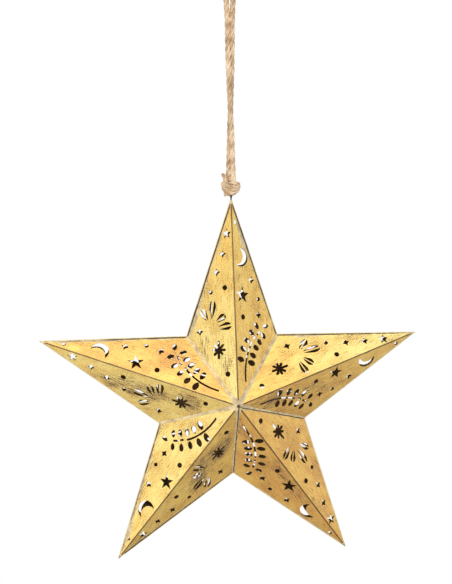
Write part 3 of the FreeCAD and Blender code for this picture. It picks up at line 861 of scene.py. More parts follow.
@dataclass
class Pattern:
    """The holes cut in one facet, as outlines in millimetres from its apex, fold upright.

    Sizes are shares of the facet's width. Places are shares of that width across and of the fold's
    length along, and a dot or a pointed star is its place and its size or sizes.
    """

    form: StarForm
    rng: random.Random
    wander_mm: float = 0.22
    wander_turn: float = 2.2
    wander_size: float = 0.025
    ragged_mm: float = 0.05
    dot_sides: int = 20
    sun_dots: tuple[Triple, ...] = ((0.192, 0.568, 0.048), (0.468, 0.552, 0.039), (0.181, 0.151, 0.048))
    moon_dots: tuple[Triple, ...] = ((0.090, 0.887, 0.039), (0.563, 0.512, 0.039), (0.183, 0.421, 0.048))
    sparkle: Pair = (0.072, 0.034)
    sun_sparkles: tuple[Pair, ...] = ((0.211, 0.732), (0.341, 0.644), (0.711, 0.362))
    moon_sparkles: tuple[Pair, ...] = ((0.419, 0.608), (0.554, 0.438))
    tip_star: tuple[Pair, Pair] = ((0.118, 0.828), (0.102, 0.043))
    big_star: tuple[Pair, Pair] = ((0.185, 0.531), (0.156, 0.060))
    star_points: int = 5
    sparkle_points: int = 4
    flank_bow: float = 1.18
    flank_turns: Pair = (130.0, 230.0)
    flower_place: Pair = (0.350, 0.268)
    flower_rays: int = 8
    flower_reaches: Pair = (0.130, 0.168)
    flower_unevenness: float = 0.05
    flower_core: float = 0.064
    flower_ray_width: float = 0.052
    sun_place: Pair = (0.475, 0.374)
    sun_core: float = 0.150
    sun_rays: tuple[tuple[float, float, float, float], ...] = (
        (2.0, 10.0, 0.93, 1.00),
        (50.0, 35.0, 1.00, 0.84),
        (87.0, 86.0, 1.20, 1.28),
        (119.0, 120.0, 1.12, 0.95),
    )
    ray_length: float = 0.252
    ray_width: float = 0.056
    ray_rib: float = 0.026
    ray_widest: float = 0.62
    ray_swell: float = 0.8
    ray_blunt: float = 0.92
    ray_point: float = 0.06
    ray_steps: int = 6
    rib_shares: tuple[float, ...] = (1.0, 0.66, 0.33, 0.0)
    moon_place: Pair = (0.172, 0.714)
    moon_radius: float = 0.170
    moon_width: float = 0.116
    moon_heading: float = -14.0
    moon_horn: float = 112.0
    moon_steps: tuple[int, int] = (16, 14)
    stem: tuple[Pair, Pair, Pair] = ((0.186, 0.114), (0.270, 0.249), (0.578, 0.358))
    stem_slots: tuple[Pair, ...] = ((0.0, 0.73), (0.79, 0.86), (0.895, 1.0))
    stem_width: float = 0.038
    stem_steps: int = 12
    leaf_pairs: int = 5
    leaf_start: float = 0.365
    leaf_step: float = 0.160
    leaf_stand: float = 0.74
    leaf_shrink: float = 0.045
    leaf_turn: float = 110.0
    leaf_half: Pair = (0.52, 0.315)
    leaf_taper: float = 0.35
    leaf_sides: int = 12

    def place(self, across: float, along: float) -> Vector:
        """Return a place given as shares of the facet's width and the fold's length."""
        return Vector((across * self.form.flat_corner.x, along * self.form.fold, 0))

    def stray(self, spread: float) -> Vector:
        """Return a small random step in the flat."""
        return Vector((self.rng.gauss(0, spread), self.rng.gauss(0, spread), 0))

    def cut(self, outline: Outline) -> Outline:
        """Move, turn and roughen an outline a little, as a hand-held punch leaves it.

        Args:
            outline: The outline as drawn.

        Returns:
            The outline as cut.
        """
        centre = sum(outline, Vector()) / len(outline)
        shift = self.stray(self.wander_mm)
        turn = Matrix.Rotation(math.radians(self.rng.gauss(0, self.wander_turn)), 3, "Z")
        size = 1 + self.rng.gauss(0, self.wander_size)
        return [
            centre + shift + turn @ (point - centre) * size + self.stray(self.ragged_mm) for point in outline
        ]

    def round_hole(self, across: float, along: float, share: float) -> Outline:
        """Return a round hole of a place and size."""
        centre, sides = self.place(across, along), self.dot_sides
        return self.cut([polar(centre, share * self.form.unit, 360 * i / sides) for i in range(sides)])

    def pointed_hole(self, place: Pair, shares: Pair, points: int) -> Outline:
        """Return a star of pointed rays with hollow flanks.

        Args:
            place: Its place.
            shares: How far its points and its inner corners reach.
            points: Number of points.

        Returns:
            The outline as cut.
        """
        centre = self.place(*place)
        outer, inner = (share * self.form.unit for share in shares)
        flank = inner * self.flank_bow
        near, far = self.flank_turns
        corners = ((outer, 0), (flank, near), (inner, 180), (flank, far))
        return self.cut([
            polar(centre, reach, 90 + 360 * i / points + turn / points)
            for i in range(points)
            for reach, turn in corners
        ])

    def flower(self) -> Outline:
        """Return the flower: eight blunt rays, the pair along the fold longer."""
        centre, unit = self.place(*self.flower_place), self.form.unit
        half = self.flower_ray_width * unit / 2
        step = 360 / self.flower_rays
        outline = []
        for i in range(self.flower_rays):
            heading = 90 + step * i
            uneven = 1 + self.rng.gauss(0, self.flower_unevenness)
            end = polar(centre, self.flower_reaches[0 if i % 4 else 1] * unit * uneven, heading)
            shoulder = (polar(end, -half, heading), half)
            blunt = (end, half / 2)
            for (start, wide), hand in ((shoulder, -90), (blunt, -90), (blunt, 90), (shoulder, 90)):
                outline.append(polar(start, wide, heading + hand))
            outline.append(polar(centre, self.flower_core * unit, heading + step / 2))
        return self.cut(outline)

    def sun(self) -> list[Outline]:
        """Return the sun's rays, each of two bowed slivers with a rib between them."""
        centre, unit = self.place(*self.sun_place), self.form.unit
        rib = self.ray_rib / 2
        outlines = []
        for foot_angle, heading, foot, length in self.sun_rays:
            start = polar(centre, foot * self.sun_core * unit, 180 - foot_angle)
            angle, reach = 180 - heading, length * self.ray_length * unit
            for hand in (90, -90):
                outline = []
                for share in (i / self.ray_steps for i in range(self.ray_steps + 1)):
                    wide = rib + between((self.ray_point, 1.0), self.bow(share)) * self.ray_width
                    outline.append(polar(polar(start, share * reach, angle), wide * unit, angle + hand))
                for share in self.rib_shares:
                    outline.append(polar(polar(start, share * reach, angle), rib * unit, angle + hand))
                outlines.append(self.cut(outline))
        return outlines

    def bow(self, share: float) -> float:
        """Work out how wide a ray is.

        Args:
            share: Share of its length, from its foot.

        Returns:
            The share of its full width, 1 at its widest.
        """
        if share < self.ray_widest:
            return (share / self.ray_widest) ** self.ray_swell
        past = (share - self.ray_widest) / (1 - self.ray_widest)
        return math.sqrt(1 - self.ray_blunt * past**2)

    def moon(self) -> Outline:
        """Return the crescent between two bows."""
        centre = self.place(*self.moon_place)
        outer, heading = self.moon_radius * self.form.unit, self.moon_heading
        rounds, hollows = self.moon_steps
        turns = [self.moon_horn * (1 - 2 * i / rounds) for i in range(rounds + 1)]
        front = [polar(centre, outer, heading + turn) for turn in turns]
        back = polar(centre, outer - self.moon_width * self.form.unit, heading)
        inner = Bow(front[-1], back, front[0])
        return self.cut(front + [inner.point(i / hollows) for i in range(1, hollows)])

    def fern(self) -> list[Outline]:
        """Return the fern's slotted stem, its pairs of leaves and its end leaf."""
        stem = Bow(*(self.place(*place) for place in self.stem))
        half = self.stem_width * self.form.unit / 2
        outlines = []
        for slot in self.stem_slots:
            count = max(2, round(self.stem_steps * (slot[1] - slot[0])))
            shares = [between(slot, i / count) for i in range(count + 1)]
            inner = [stem.point(share, -half) for share in shares]
            outer = [stem.point(share, half) for share in reversed(shares)]
            outlines.append(self.cut(inner + outer))
        step = self.leaf_step * stem.length
        for i in range(self.leaf_pairs):
            share = self.leaf_start + self.leaf_step * i
            for hand in (1, -1):
                heading = stem.angle(share) + (0 if hand > 0 else 180)
                centre = stem.point(share, hand * self.leaf_stand * step)
                outlines.append(self.leaf(centre, heading, step * (1 - i * self.leaf_shrink)))
        end = self.leaf_start + self.leaf_step * self.leaf_pairs
        size = step * (1 - self.leaf_pairs * self.leaf_shrink)
        outlines.append(self.leaf(stem.point(end), stem.angle(end) - self.leaf_turn, size))
        return outlines

    def leaf(self, centre: Vector, heading: float, step: float) -> Outline:
        """Return a leaf, pointed at its foot and round at its end.

        Args:
            centre: Its middle.
            heading: Where it points, in degrees.
            step: The space from leaf to leaf, which its size goes by.

        Returns:
            The outline as cut.
        """
        half_length, half_width = (share * step for share in self.leaf_half)
        outline = []
        for i in range(self.leaf_sides):
            angle = math.tau * i / self.leaf_sides
            width = half_width * math.sin(angle) * (1 - self.leaf_taper * max(-math.cos(angle), 0) ** 2)
            forward = polar(centre, half_length * math.cos(angle), heading)
            outline.append(polar(forward, width, heading + 90))
        return self.cut(outline)

    def outlines(self, side: Side) -> list[Outline]:
        """Draw every hole of one side.

        Args:
            side: The moon's or the sun's side.

        Returns:
            The outlines as cut.
        """
        if side is Side.SUN:
            shapes = [self.pointed_hole(*self.tip_star, self.star_points), self.flower(), *self.sun()]
            dots, sparkles = self.sun_dots, self.sun_sparkles
        else:
            shapes = [self.pointed_hole(*self.big_star, self.star_points), self.moon(), *self.fern()]
            dots, sparkles = self.moon_dots, self.moon_sparkles
        shapes += [self.round_hole(*dot) for dot in dots]
        shapes += [self.pointed_hole(place, self.sparkle, self.sparkle_points) for place in sparkles]
        return shapes


# How the facets look


@dataclass(frozen=True)
class Patch:
    """A worn place on a facet: centre and reach as millimetres across and along."""

    across: float
    along: float
    wide: float
    long: float
    strength: float = 1.0
    fade: Pair = (0.45, 1.0)

    def strength_at(self, point: Vector) -> float:
        """Return how worn a flat point is, from 0 to the patch's strength."""
        away = math.hypot((point.x - self.across) / self.wide, (point.y - self.along) / self.long)
        return self.strength * (1 - smooth(*self.fade, away))


@dataclass(frozen=True)
class FacetLook:
    """How a facet and its rim look, each pair from the star's middle to the arm's tip.

    The lacquer is how much darker and more orange than usual the facet is. It is partly uneven
    lacquer and partly painted shade and light, set facet by facet and from the middle to the tip.
    The solder is how far it lies inside the rim, the groove how dark the groove inside the rim is,
    and rubbed how far the lacquer is rubbed off beside it. The pool is where solder has run
    inwards: distance from the tip, spread and width.
    """

    lacquer: Pair
    solder_mm: Pair
    groove: Pair
    rubbed: Pair = (0.1, 0.1)
    pool_mm: Triple = (0.0, 1.0, 0.0)


# Each facet's lacquer pair is partly uneven lacquer and partly painted shade and light, darker or paler facet
# by facet.
LOOKS: dict[tuple[Arm, Side], FacetLook] = {
    (Arm.TOP, Side.MOON): FacetLook((0.06, -0.04), (1.6, 2.6), (0.7, 1.0), (0.45, 0.5), (33.0, 11.0, 3.2)),
    (Arm.TOP, Side.SUN): FacetLook((-0.4, 0.12), (3.6, 1.9), (1.0, 0.9), (0.75, 0.35), (96.0, 12.0, 1.8)),
    (Arm.RIGHT, Side.MOON): FacetLook((0.22, 0.0), (1.0, 1.0), (0.1, 0.1)),
    (Arm.RIGHT, Side.SUN): FacetLook((0.24, -0.55), (1.7, 1.2), (0.9, 0.6), (0.5, 0.3), (92.0, 8.0, 2.4)),
    (Arm.LOWER_RIGHT, Side.MOON): FacetLook((0.26, 0.26), (1.0, 1.6), (0.1, 0.35)),
    (Arm.LOWER_RIGHT, Side.SUN): FacetLook((0.15, 0.26), (1.0, 0.9), (0.1, 0.1)),
    (Arm.LOWER_LEFT, Side.MOON): FacetLook(
        (-0.24, -0.08), (2.2, 2.8), (0.7, 0.45), (0.4, 0.7), (20.0, 9.0, 2.2),
    ),
    (Arm.LOWER_LEFT, Side.SUN): FacetLook((0.15, -0.08), (1.5, 2.4), (0.6, 1.1), (0.3, 0.55)),
    (Arm.LEFT, Side.MOON): FacetLook((0.29, 0.14), (2.6, 2.0), (0.9, 0.4), (0.35, 0.4)),
    (Arm.LEFT, Side.SUN): FacetLook((-0.24, -0.2), (1.0, 1.1), (0.1, 0.1)),
}

# Where the lacquer is rubbed down away from the rims.
WEAR: dict[tuple[Face, Arm, Side], tuple[Patch, ...]] = {
    (Face.FRONT, Arm.LEFT, Side.SUN): (Patch(15, 78, 13, 42, 0.72), Patch(12, 38, 12, 16, 0.68)),
    (Face.FRONT, Arm.TOP, Side.SUN): (Patch(9, 34, 10, 12, 0.55), Patch(27, 48, 7, 22, 0.5)),
    (Face.FRONT, Arm.TOP, Side.MOON): (Patch(9, 92, 9, 26, 0.42),),
    (Face.FRONT, Arm.LOWER_LEFT, Side.SUN): (Patch(12, 44, 13, 34, 0.68), Patch(16, 74, 12, 20, 0.62)),
    (Face.FRONT, Arm.LOWER_RIGHT, Side.MOON): (
        Patch(6, 80, 8, 46, 0.4), Patch(8, 134, 7, 20, 0.5), Patch(12, 18, 9, 16, 0.45),
    ),
    (Face.FRONT, Arm.LOWER_RIGHT, Side.SUN): (Patch(5, 112, 6, 34, 0.45),),
    (Face.FRONT, Arm.RIGHT, Side.MOON): (Patch(9, 22, 13, 22, 0.6), Patch(14, 62, 10, 24, 0.5)),
    (Face.FRONT, Arm.LEFT, Side.MOON): (Patch(22, 40, 14, 16, 0.4),),
    (Face.BACK, Arm.TOP, Side.MOON): (Patch(12, 60, 12, 30, 0.5),),
    (Face.BACK, Arm.LOWER_LEFT, Side.SUN): (Patch(10, 80, 10, 40, 0.5),),
}

# How dark the ragged line in a valley's solder is, and how far it lies beside the valley.
SEAM_LINE: dict[Valley, Pair] = {Valley.RIGHT: (0.95, 0.7), Valley.BOTTOM: (0.95, -0.35)}
USUAL_SEAM_LINE: Pair = (0.35, -0.9)


# Panels


@dataclass
class PiercedPanels:
    """The ten folded and pierced panels of tin."""

    form: StarForm
    tin: Material
    inside: Material
    edge: Material
    thickness: float = 0.4
    pitch: float = 5.0
    dent: float = 0.22
    dent_size: float = 16.0
    fade: float = 7.0
    fold_round: float = 0.45
    fold_drop: float = 0.10
    fold_angle: float = 0.3
    weld: float = 0.02
    score_weld: float = 1e-5
    area_slack: float = 0.5
    tries: int = 12
    dent_seeds: Pair = (0, 50)
    arm_seed: float = 2.0
    back_seed: float = 11.0

    def build(self) -> None:
        """Build every panel in place of its node."""
        for face in Face:
            for arm in Arm:
                name = f"{face.label}_panel_{arm.label}"
                mesh = join(self.sheet(arm, face, side) for side in Side)
                self.fold_and_thicken(mesh)
                piece = make_piece(f"tin_{name}", mesh, self.tin, self.inside, self.edge)
                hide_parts(name)
                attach(piece, "star")

    def distances(self, point: Vector) -> Triple:
        """Measure how far a flat point is from a facet's three sides.

        Args:
            point: The point, in facet coordinates.

        Returns:
            Its distances from the fold, the rim and the valley.
        """
        corner = self.form.flat_corner
        rim = (Vector((0, self.form.fold, 0)) - corner).normalized()
        return abs(point.x), abs(rim.cross(point - corner).z), abs(corner.normalized().cross(point).z)

    def sheet(self, arm: Arm, face: Face, side: Side) -> Mesh:
        """Return one pierced facet, a single layer, in place in metres.

        Args:
            arm: The facet's arm.
            face: Front or back.
            side: The moon's or the sun's side.

        Returns:
            The mesh with its UV maps and attributes.
        """
        rng = random.Random(f"{arm.label} {face.label} {side.label}")
        mesh = self.pierced(Pattern(self.form, rng), side)
        lines = [Vector((self.fold_round, 0, 0))]
        for axis, reach in ((Vector((1, 0, 0)), self.form.unit), (Vector((0, 1, 0)), self.form.fold)):
            lines += [axis * self.pitch * i for i in range(1, int(reach / self.pitch) + 1)]
        for line in lines:
            geometry = mesh.verts[:] + mesh.edges[:] + mesh.faces[:]
            way = line.normalized()
            bmesh.ops.bisect_plane(mesh, geom=geometry, dist=self.score_weld, plane_co=line, plane_no=way)
        self.paint(mesh, arm, face, side)
        self.dent_sheet(mesh, rng.uniform(*self.dent_seeds))
        bmesh.ops.transform(mesh, matrix=self.form.laid(), verts=mesh.verts[:])
        return self.form.put(mesh, arm, face, side)

    def pierced(self, pattern: Pattern, side: Side) -> Mesh:
        """Fill a facet's outline round its holes, and draw them again if two of them touch.

        Args:
            pattern: Draws the holes.
            side: The moon's or the sun's side.

        Returns:
            The flat facet.
        """
        rim = [Vector((0, 0, 0)), self.form.flat_corner, Vector((0, self.form.fold, 0))]
        for _ in range(self.tries):
            holes = pattern.outlines(side)
            mesh = bmesh.new()
            edges = []
            for outline in [rim, *holes]:
                verts = [mesh.verts.new(point) for point in outline]
                edges += [mesh.edges.new(pair) for pair in zip(verts, verts[1:] + verts[:1])]
            bmesh.ops.triangle_fill(mesh, use_beauty=True, use_dissolve=False, edges=edges, normal=(0, 0, 1))
            left = flat_area(rim) - sum(flat_area(hole) for hole in holes)
            if abs(sum(surface.calc_area() for surface in mesh.faces) - left) < self.area_slack:
                return mesh
            LOG.info("two holes touch, drawn again")
            mesh.free()
        raise RuntimeError("the holes of a facet could not be drawn clear of each other")

    def paint(self, mesh: Mesh, arm: Arm, face: Face, side: Side) -> None:
        """Write a facet's UV maps in millimetres, its tint, which partly holds painted shade and light, and
        its wear.

        Args:
            mesh: The flat facet.
            arm: Its arm.
            face: Its face.
            side: Its side.
        """
        facet, edges = (mesh.loops.layers.uv.new(name) for name in ("facet", "edges"))
        seed, wear, rim_wear, lacquer = (
            mesh.verts.layers.float.new(name) for name in ("sheet_seed", "wear", "rim_wear", "lacquer")
        )
        look = LOOKS[(arm, side)]
        patches = WEAR.get((face, arm, side), ())
        shade_smooth(mesh)
        for loop in (loop for surface in mesh.faces for loop in surface.loops):
            point = loop.vert.co
            loop[facet].uv = (point.x * side.value, point.y)
            loop[edges].uv = self.distances(point)[1:]
        for vert in mesh.verts:
            vert[seed] = arm.value * self.arm_seed + (face is Face.BACK) * self.back_seed
            # The lacquer value is partly uneven lacquer and partly painted shade and light, from the middle
            # to the tip.
            vert[lacquer] = between(look.lacquer, vert.co.y / self.form.fold)
            vert[wear] = max((patch.strength_at(vert.co) for patch in patches), default=0.0)
            vert[rim_wear] = between(look.rubbed, smooth(self.form.flat_corner.y, self.form.fold, vert.co.y))

    def dent_sheet(self, mesh: Mesh, seed: float) -> None:
        """Push shallow dents into a facet, away from its outline.

        Args:
            mesh: The flat facet.
            seed: Picks its dents.
        """
        for vert in mesh.verts:
            clear = min(self.distances(vert.co))
            swell = noise.noise(Vector((vert.co.x / self.dent_size, vert.co.y / self.dent_size, seed)))
            vert.co.z += self.dent * swell * smooth(0, self.fade, clear)

    def fold_and_thicken(self, mesh: Mesh) -> None:
        """Join the two facets, round the fold and give the sheet its thickness.

        Args:
            mesh: Both facets in place, in metres.
        """
        bmesh.ops.remove_doubles(mesh, verts=mesh.verts[:], dist=self.weld * MM)
        mesh.normal_update()
        folds = [e for e in mesh.edges if len(e.link_faces) == 2 and e.calc_face_angle() > self.fold_angle]
        for vert in {vert for edge in folds for vert in edge.verts}:
            vert.co -= vert.normal * self.fold_drop * MM
        mesh.normal_update()
        outer = mesh.faces[:]
        grown = bmesh.ops.extrude_face_region(mesh, geom=outer, use_keep_orig=True)["geom"]
        inner_verts = [item for item in grown if isinstance(item, bmesh.types.BMVert)]
        shifts = {vert: vert.normal * self.thickness * MM for vert in inner_verts}
        for vert, shift in shifts.items():
            vert.co -= shift
        outer_set = set(outer)
        inner_set = {item for item in grown if isinstance(item, bmesh.types.BMFace)}
        # Outer faces take the lacquered tin, inner faces the dark material that paints the shade of the
        # hollow, and the cut walls the edge.
        for surface in mesh.faces:
            surface.material_index = 0 if surface in outer_set else 1 if surface in inner_set else 2
            surface.smooth = surface.material_index < 2
        bmesh.ops.recalc_face_normals(mesh, faces=mesh.faces[:])
        for edge in mesh.edges:
            edge.smooth = len({surface.material_index for surface in edge.link_faces}) == 1


# Solder


@dataclass
class SolderWork:
    """The solder in the valleys, along the rims, on the tips and at the two apexes.

    A wave, as in seam_waves, is a step of the seed, its height and its length.
    """

    form: StarForm
    solder: Material
    back_seed: float = 10.0
    rim_seed: float = 40.0
    tip_seed: float = 80.0
    edge_share: float = 0.99
    seam_squares: tuple[int, int] = (64, 8)
    seam_width: float = 4.0
    seam_middle: float = 30.0
    seam_half: float = 1.25
    seam_least: float = 0.4
    seam_ends: Pair = (1.0, 2.2)
    seam_swell: float = 1.1
    seam_swell_reach: Pair = (3.0, 18.0)
    seam_waves: tuple[tuple[Triple, Triple], ...] = (
        ((31, 0.45, 5), (57, 0.25, 1.6)),
        ((62, 0.45, 5), (114, 0.25, 1.6)),
    )
    seam_sag: float = 0.25
    seam_height: float = 0.10
    seam_sunk: float = 0.05
    seam_ripple: Triple = (90, 0.05, 3)
    seam_line_edge: Pair = (0.25, 0.6)
    seam_line_wave: Triple = (7, 0.3, 2.2)
    seam_stain_wave: Triple = (5, 0.25, 5)
    seam_gilt: float = 0.15
    seam_gilt_wave: Triple = (6, 0.3, 8)
    apex_sides: int = 40
    apex_cuts: int = 3
    apex_reach: Pair = (2.2, 2.8)
    apex_wave: Triple = (3, 0.5, 14)
    apex_bead: float = 0.28
    apex_bead_reach: float = 0.9
    apex_lift: float = 0.02
    apex_sunk: float = -0.06
    apex_stain: float = 0.9
    apex_stain_reach: Pair = (0.6, 2.0)
    apex_gilt: float = 0.15
    rim_squares: tuple[int, int] = (120, 20)
    rim_width: float = 2.5
    rim_middle: float = 50.0
    rim_start: float = 0.3
    rim_least: float = 0.25
    rim_front_waves: tuple[Triple, Triple] = ((0, 0.45, 11), (3, 0.25, 2))
    rim_back: float = 0.9
    rim_back_waves: tuple[Triple, Triple] = ((9, 0.5, 9), (13, 0.25, 2))
    rim_tip_share: float = 0.45
    rim_tip_least: float = 0.6
    rim_crown: float = 0.20
    rim_crown_wave: Triple = (21, 0.07, 4)
    rim_flat: float = 0.35
    rim_back_fall: float = 1.5
    rim_lift: float = 0.03
    rim_sunk: float = 0.09
    rim_sunk_share: float = 0.94
    rim_round: float = 0.9
    groove_edges: tuple[Pair, Pair] = ((0.2, 0.45), (1.3, 1.9))
    groove_dark: float = 1.05
    groove_wave: Triple = (70, 0.5, 7)
    rim_stain_wave: Triple = (71, 0.1, 12)
    rim_gilt: float = 0.85
    rim_bare: float = 0.08
    rim_gilt_edge: Pair = (0.3, 0.8)
    rim_gilt_wave: Triple = (80, 0.5, 10)
    tip_sides: int = 32
    tip_cuts: int = 4
    tip_weld: float = 1e-3
    tip_length: float = 4.5
    tip_waves: tuple[Triple, Triple] = ((0, 1.3, 40), (5, 0.5, 12))
    tip_cover: float = 0.18
    tip_sunk: float = -0.02
    tip_bead: float = 0.25
    tip_bead_reach: float = 0.25
    tip_stain: float = 0.42
    tip_stain_wave: Triple = (9, 0.4, 2)
    tip_gilt: float = 0.6
    tip_seam_end: float = 7.2

    def build(self) -> None:
        """Build every seam and cap in place of its node."""
        for face in Face:
            for valley in Valley:
                self.keep(f"{face.label}_valley_seam_{valley.label}", self.valley_seam(face, valley))
            self.keep(f"{face.label}_apex_solder", self.apex_solder(face))
        for arm in Arm:
            for side in Side:
                self.keep(f"rim_seam_{arm.label}_{side.label}", self.rim_seam(arm, side))
            self.keep(f"tip_solder_{arm.label}", self.tip_solder(arm))

    def keep(self, node: str, mesh: Mesh) -> None:
        """Make a piece of a solder mesh in place of its node.

        Args:
            node: The node that it replaces.
            mesh: The mesh, in metres.
        """
        piece = make_piece(f"solder_{node}", mesh, self.solder)
        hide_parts(node)
        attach(piece, "star")

    def paint(self, mesh: Mesh, stain: Callable[[Vector], float], gilt: Callable[[Vector], float]) -> None:
        """Write how stained with flux and how covered with amber lacquer each point is.

        Args:
            mesh: The solder, before it is placed.
            stain: Gives the stain at a point.
            gilt: Gives the lacquer at a point.
        """
        for name, value in (("stain", stain), ("gilt", gilt)):
            layer = mesh.verts.layers.float.new(name)
            for vert in mesh.verts:
                vert[layer] = value(vert.co)

    def valley_seam(self, face: Face, valley: Valley) -> Mesh:
        """Make the fillet in one valley, wide by the apex and uneven along its sides.

        Args:
            face: Front or back.
            valley: The valley.

        Returns:
            The mesh, in metres.
        """
        form = self.form
        seed = valley.value + self.back_seed * (face is Face.BACK)
        line, length = (form.corner - form.apex).normalized(), (form.corner - form.apex).length
        across, along, _ = form.axes
        flat = form.flat_corner.normalized()
        near = (along * flat.x - across * flat.y).normalized()
        plane = Vector((math.cos(HALF), 0, -math.sin(HALF)))
        far = near - plane * (2 * near.dot(plane))
        lift = (near + far).normalized()
        start, gaps = self.seam_ends

        def place(share: float, aside: float) -> Vector:
            """Place a point of the fillet.

            Args:
                share: Share of the way from the apex to the rim.
                aside: Share of the way from one side to the other.

            Returns:
                The point, from the star's centre.
            """
            at = start + (length - gaps) * share
            half = self.seam_half + self.seam_swell * (1 - smooth(*self.seam_swell_reach, at))
            first, last = (
                way * max(half + waves(seed, at, *sizes), self.seam_least)
                for way, sizes in zip((near, far), self.seam_waves)
            )
            sag = lift * self.seam_sag * (2 * aside * (1 - aside))
            sunk = self.seam_sunk if aside in (0.0, 1.0) else 0.0
            height = self.seam_height - sunk + waves(seed, at + 3 * aside, self.seam_ripple)
            return form.apex + line * at + first * (1 - aside) ** 2 + sag + last * aside**2 + lift * height

        def stain(point: Vector) -> float:
            """Work out how dark the ragged line is.

            Args:
                point: A point of the fillet.

            Returns:
                The stain there.
            """
            down = point.z + point.x
            beside = (point - form.apex).dot(plane) - line_at + waves(seed, down, self.seam_line_wave)
            dark = depth * (1 - smooth(*self.seam_line_edge, abs(beside)))
            return dark + waves(seed, down, self.seam_stain_wave)

        def gilt(point: Vector) -> float:
            """Return how gilded a point is."""
            return self.seam_gilt + waves(seed, point.z + point.x, self.seam_gilt_wave)

        mesh = grid_sheet("seam", self.seam_squares, place, (length, self.seam_width))
        face_outwards(mesh, form.apex + line * self.seam_middle, lift)
        depth, line_at = SEAM_LINE.get(valley, USUAL_SEAM_LINE)
        self.paint(mesh, stain, gilt)
        return form.put(mesh, Arm(valley.value), face, Side.MOON)

    def apex_solder(self, face: Face) -> Mesh:
        """Make the thin patch over the apex, drawn out along the valleys, with a dark middle.

        Args:
            face: Front or back.

        Returns:
            The mesh, in metres.
        """
        form = self.form
        mesh = bmesh.new()
        bmesh.ops.create_circle(mesh, cap_ends=True, cap_tris=True, segments=self.apex_sides, radius=1.0)
        bmesh.ops.subdivide_edges(mesh, edges=mesh.edges[:], cuts=self.apex_cuts, use_grid_fill=True)
        least, more = self.apex_reach
        fall_along = form.depth / form.radius
        fall_across = (form.depth - fall_along * form.corner.z) / form.corner.x
        for vert in mesh.verts:
            angle, share = math.atan2(vert.co.x, vert.co.y), min(vert.co.xy.length, 1.0)
            heading = math.degrees(angle)
            offset = abs((heading + HALF_SECTOR) % SECTOR - HALF_SECTOR)
            reach = least + more * (offset / HALF_SECTOR) ** 2 + waves(face.value, heading, self.apex_wave)
            radius, turn = share * reach, math.radians(offset)
            surface = form.depth - radius * (fall_along * math.cos(turn) + fall_across * math.sin(turn))
            bead = self.apex_bead * (1 - smooth(0.0, self.apex_bead_reach, share))
            bead += self.apex_lift if share < self.edge_share else self.apex_sunk
            vert.co = Vector((radius * math.sin(angle), -(surface + bead), radius * math.cos(angle)))
        shade_smooth(mesh)
        face_outwards(mesh, form.apex, form.apex)

        def stain(point: Vector) -> float:
            """Return how dark the patch is at a point."""
            return self.apex_stain * (1 - smooth(*self.apex_stain_reach, math.hypot(point.x, point.z)))

        self.paint(mesh, stain, lambda _: self.apex_gilt)
        return form.put(mesh, Arm.TOP, face, Side.MOON)

    def rim_seam(self, arm: Arm, side: Side) -> Mesh:
        """Make the solder that wraps an edge from the valley to the tip's cap.

        Args:
            arm: The arm.
            side: The moon's or the sun's side.

        Returns:
            The mesh, in metres.
        """
        form, look = self.form, LOOKS[(arm, side)]
        seed = arm.value * 2 + (side is Side.SUN) + self.rim_seed
        start = form.corner
        line, length = (form.tip - start).normalized(), (form.tip - start).length
        outward = form.axes[2]
        inward = line.cross(outward).normalized()
        if inward.dot(form.apex - start) < 0:
            inward.negate()
        back, back_outward = (Vector((way.x, -way.y, way.z)) for way in (inward, outward))
        edge_out = (outward + back_outward).normalized()
        pool, spread, extra = look.pool_mm

        def front_width(at: float, share: float) -> float:
            """Work out how far the solder lies on the front.

            Args:
                at: Distance along the rim from the valley.
                share: The same as a share of the seam.

            Returns:
                The width, in millimetres.
            """
            run = extra * math.exp(-(((length - at - pool) / spread) ** 2))
            broad, fine = (waves(seed, at, wave) for wave in self.rim_front_waves)
            width = (between(look.solder_mm, share) + run) * (1 + broad) + fine
            return min(width, self.rim_tip_share * (length - at) * form.tip_slope + self.rim_tip_least)

        def place(share: float, aside: float) -> Vector:
            """Place a point of the seam.

            Args:
                share: Share of the way from the valley to the tip.
                aside: Share of the way from the front's side to the back's.

            Returns:
                The point, from the star's centre.
            """
            at = self.rim_start + (length - self.tip_seam_end) * share
            front = aside < 0.5
            reach = abs(1 - 2 * aside)
            way, up = (inward, outward) if front else (back, back_outward)
            width = front_width(at, share) if front else self.rim_back + waves(seed, at, *self.rim_back_waves)
            width = max(width, self.rim_least)
            rounding = 1 - smooth(0, self.rim_round, width * reach)
            fall = 1 - reach
            thin = between((rounding, fall), self.rim_flat) if front else fall**self.rim_back_fall
            crown = self.rim_crown + waves(seed, at, self.rim_crown_wave)
            height = crown * thin + self.rim_lift - self.rim_sunk * smooth(self.rim_sunk_share, 1.0, reach)
            return start + line * at + way * (width * reach) + up.lerp(edge_out, rounding) * height

        def read(point: Vector) -> Pair:
            """Return how far a point lies along the rim and how far inside it on the front."""
            away = point - start
            return away.dot(line), away.dot(inward) if point.y < 0 else 0.0

        def stain(point: Vector) -> float:
            """Work out how dark the groove is.

            Args:
                point: A point of the seam.

            Returns:
                The stain there.
            """
            at, inside = read(point)
            inner, outer = self.groove_edges
            groove = smooth(*inner, inside) * (1 - smooth(*outer, inside))
            dark = self.groove_dark + waves(seed, at, self.groove_wave)
            groove *= between(look.groove, smooth(0, length, at))
            return groove * dark + waves(seed, at, self.rim_stain_wave)

        def gilt(point: Vector) -> float:
            """Return how gilded a point is."""
            at, inside = read(point)
            ends = (self.rim_gilt, self.rim_bare + waves(seed, at, self.rim_gilt_wave))
            return between(ends, smooth(*self.rim_gilt_edge, inside))

        mesh = grid_sheet("seam", self.rim_squares, place, (length, self.rim_width))
        face_outwards(mesh, start + line * self.rim_middle, edge_out)
        self.paint(mesh, stain, gilt)
        return form.put(mesh, arm, Face.FRONT, side)

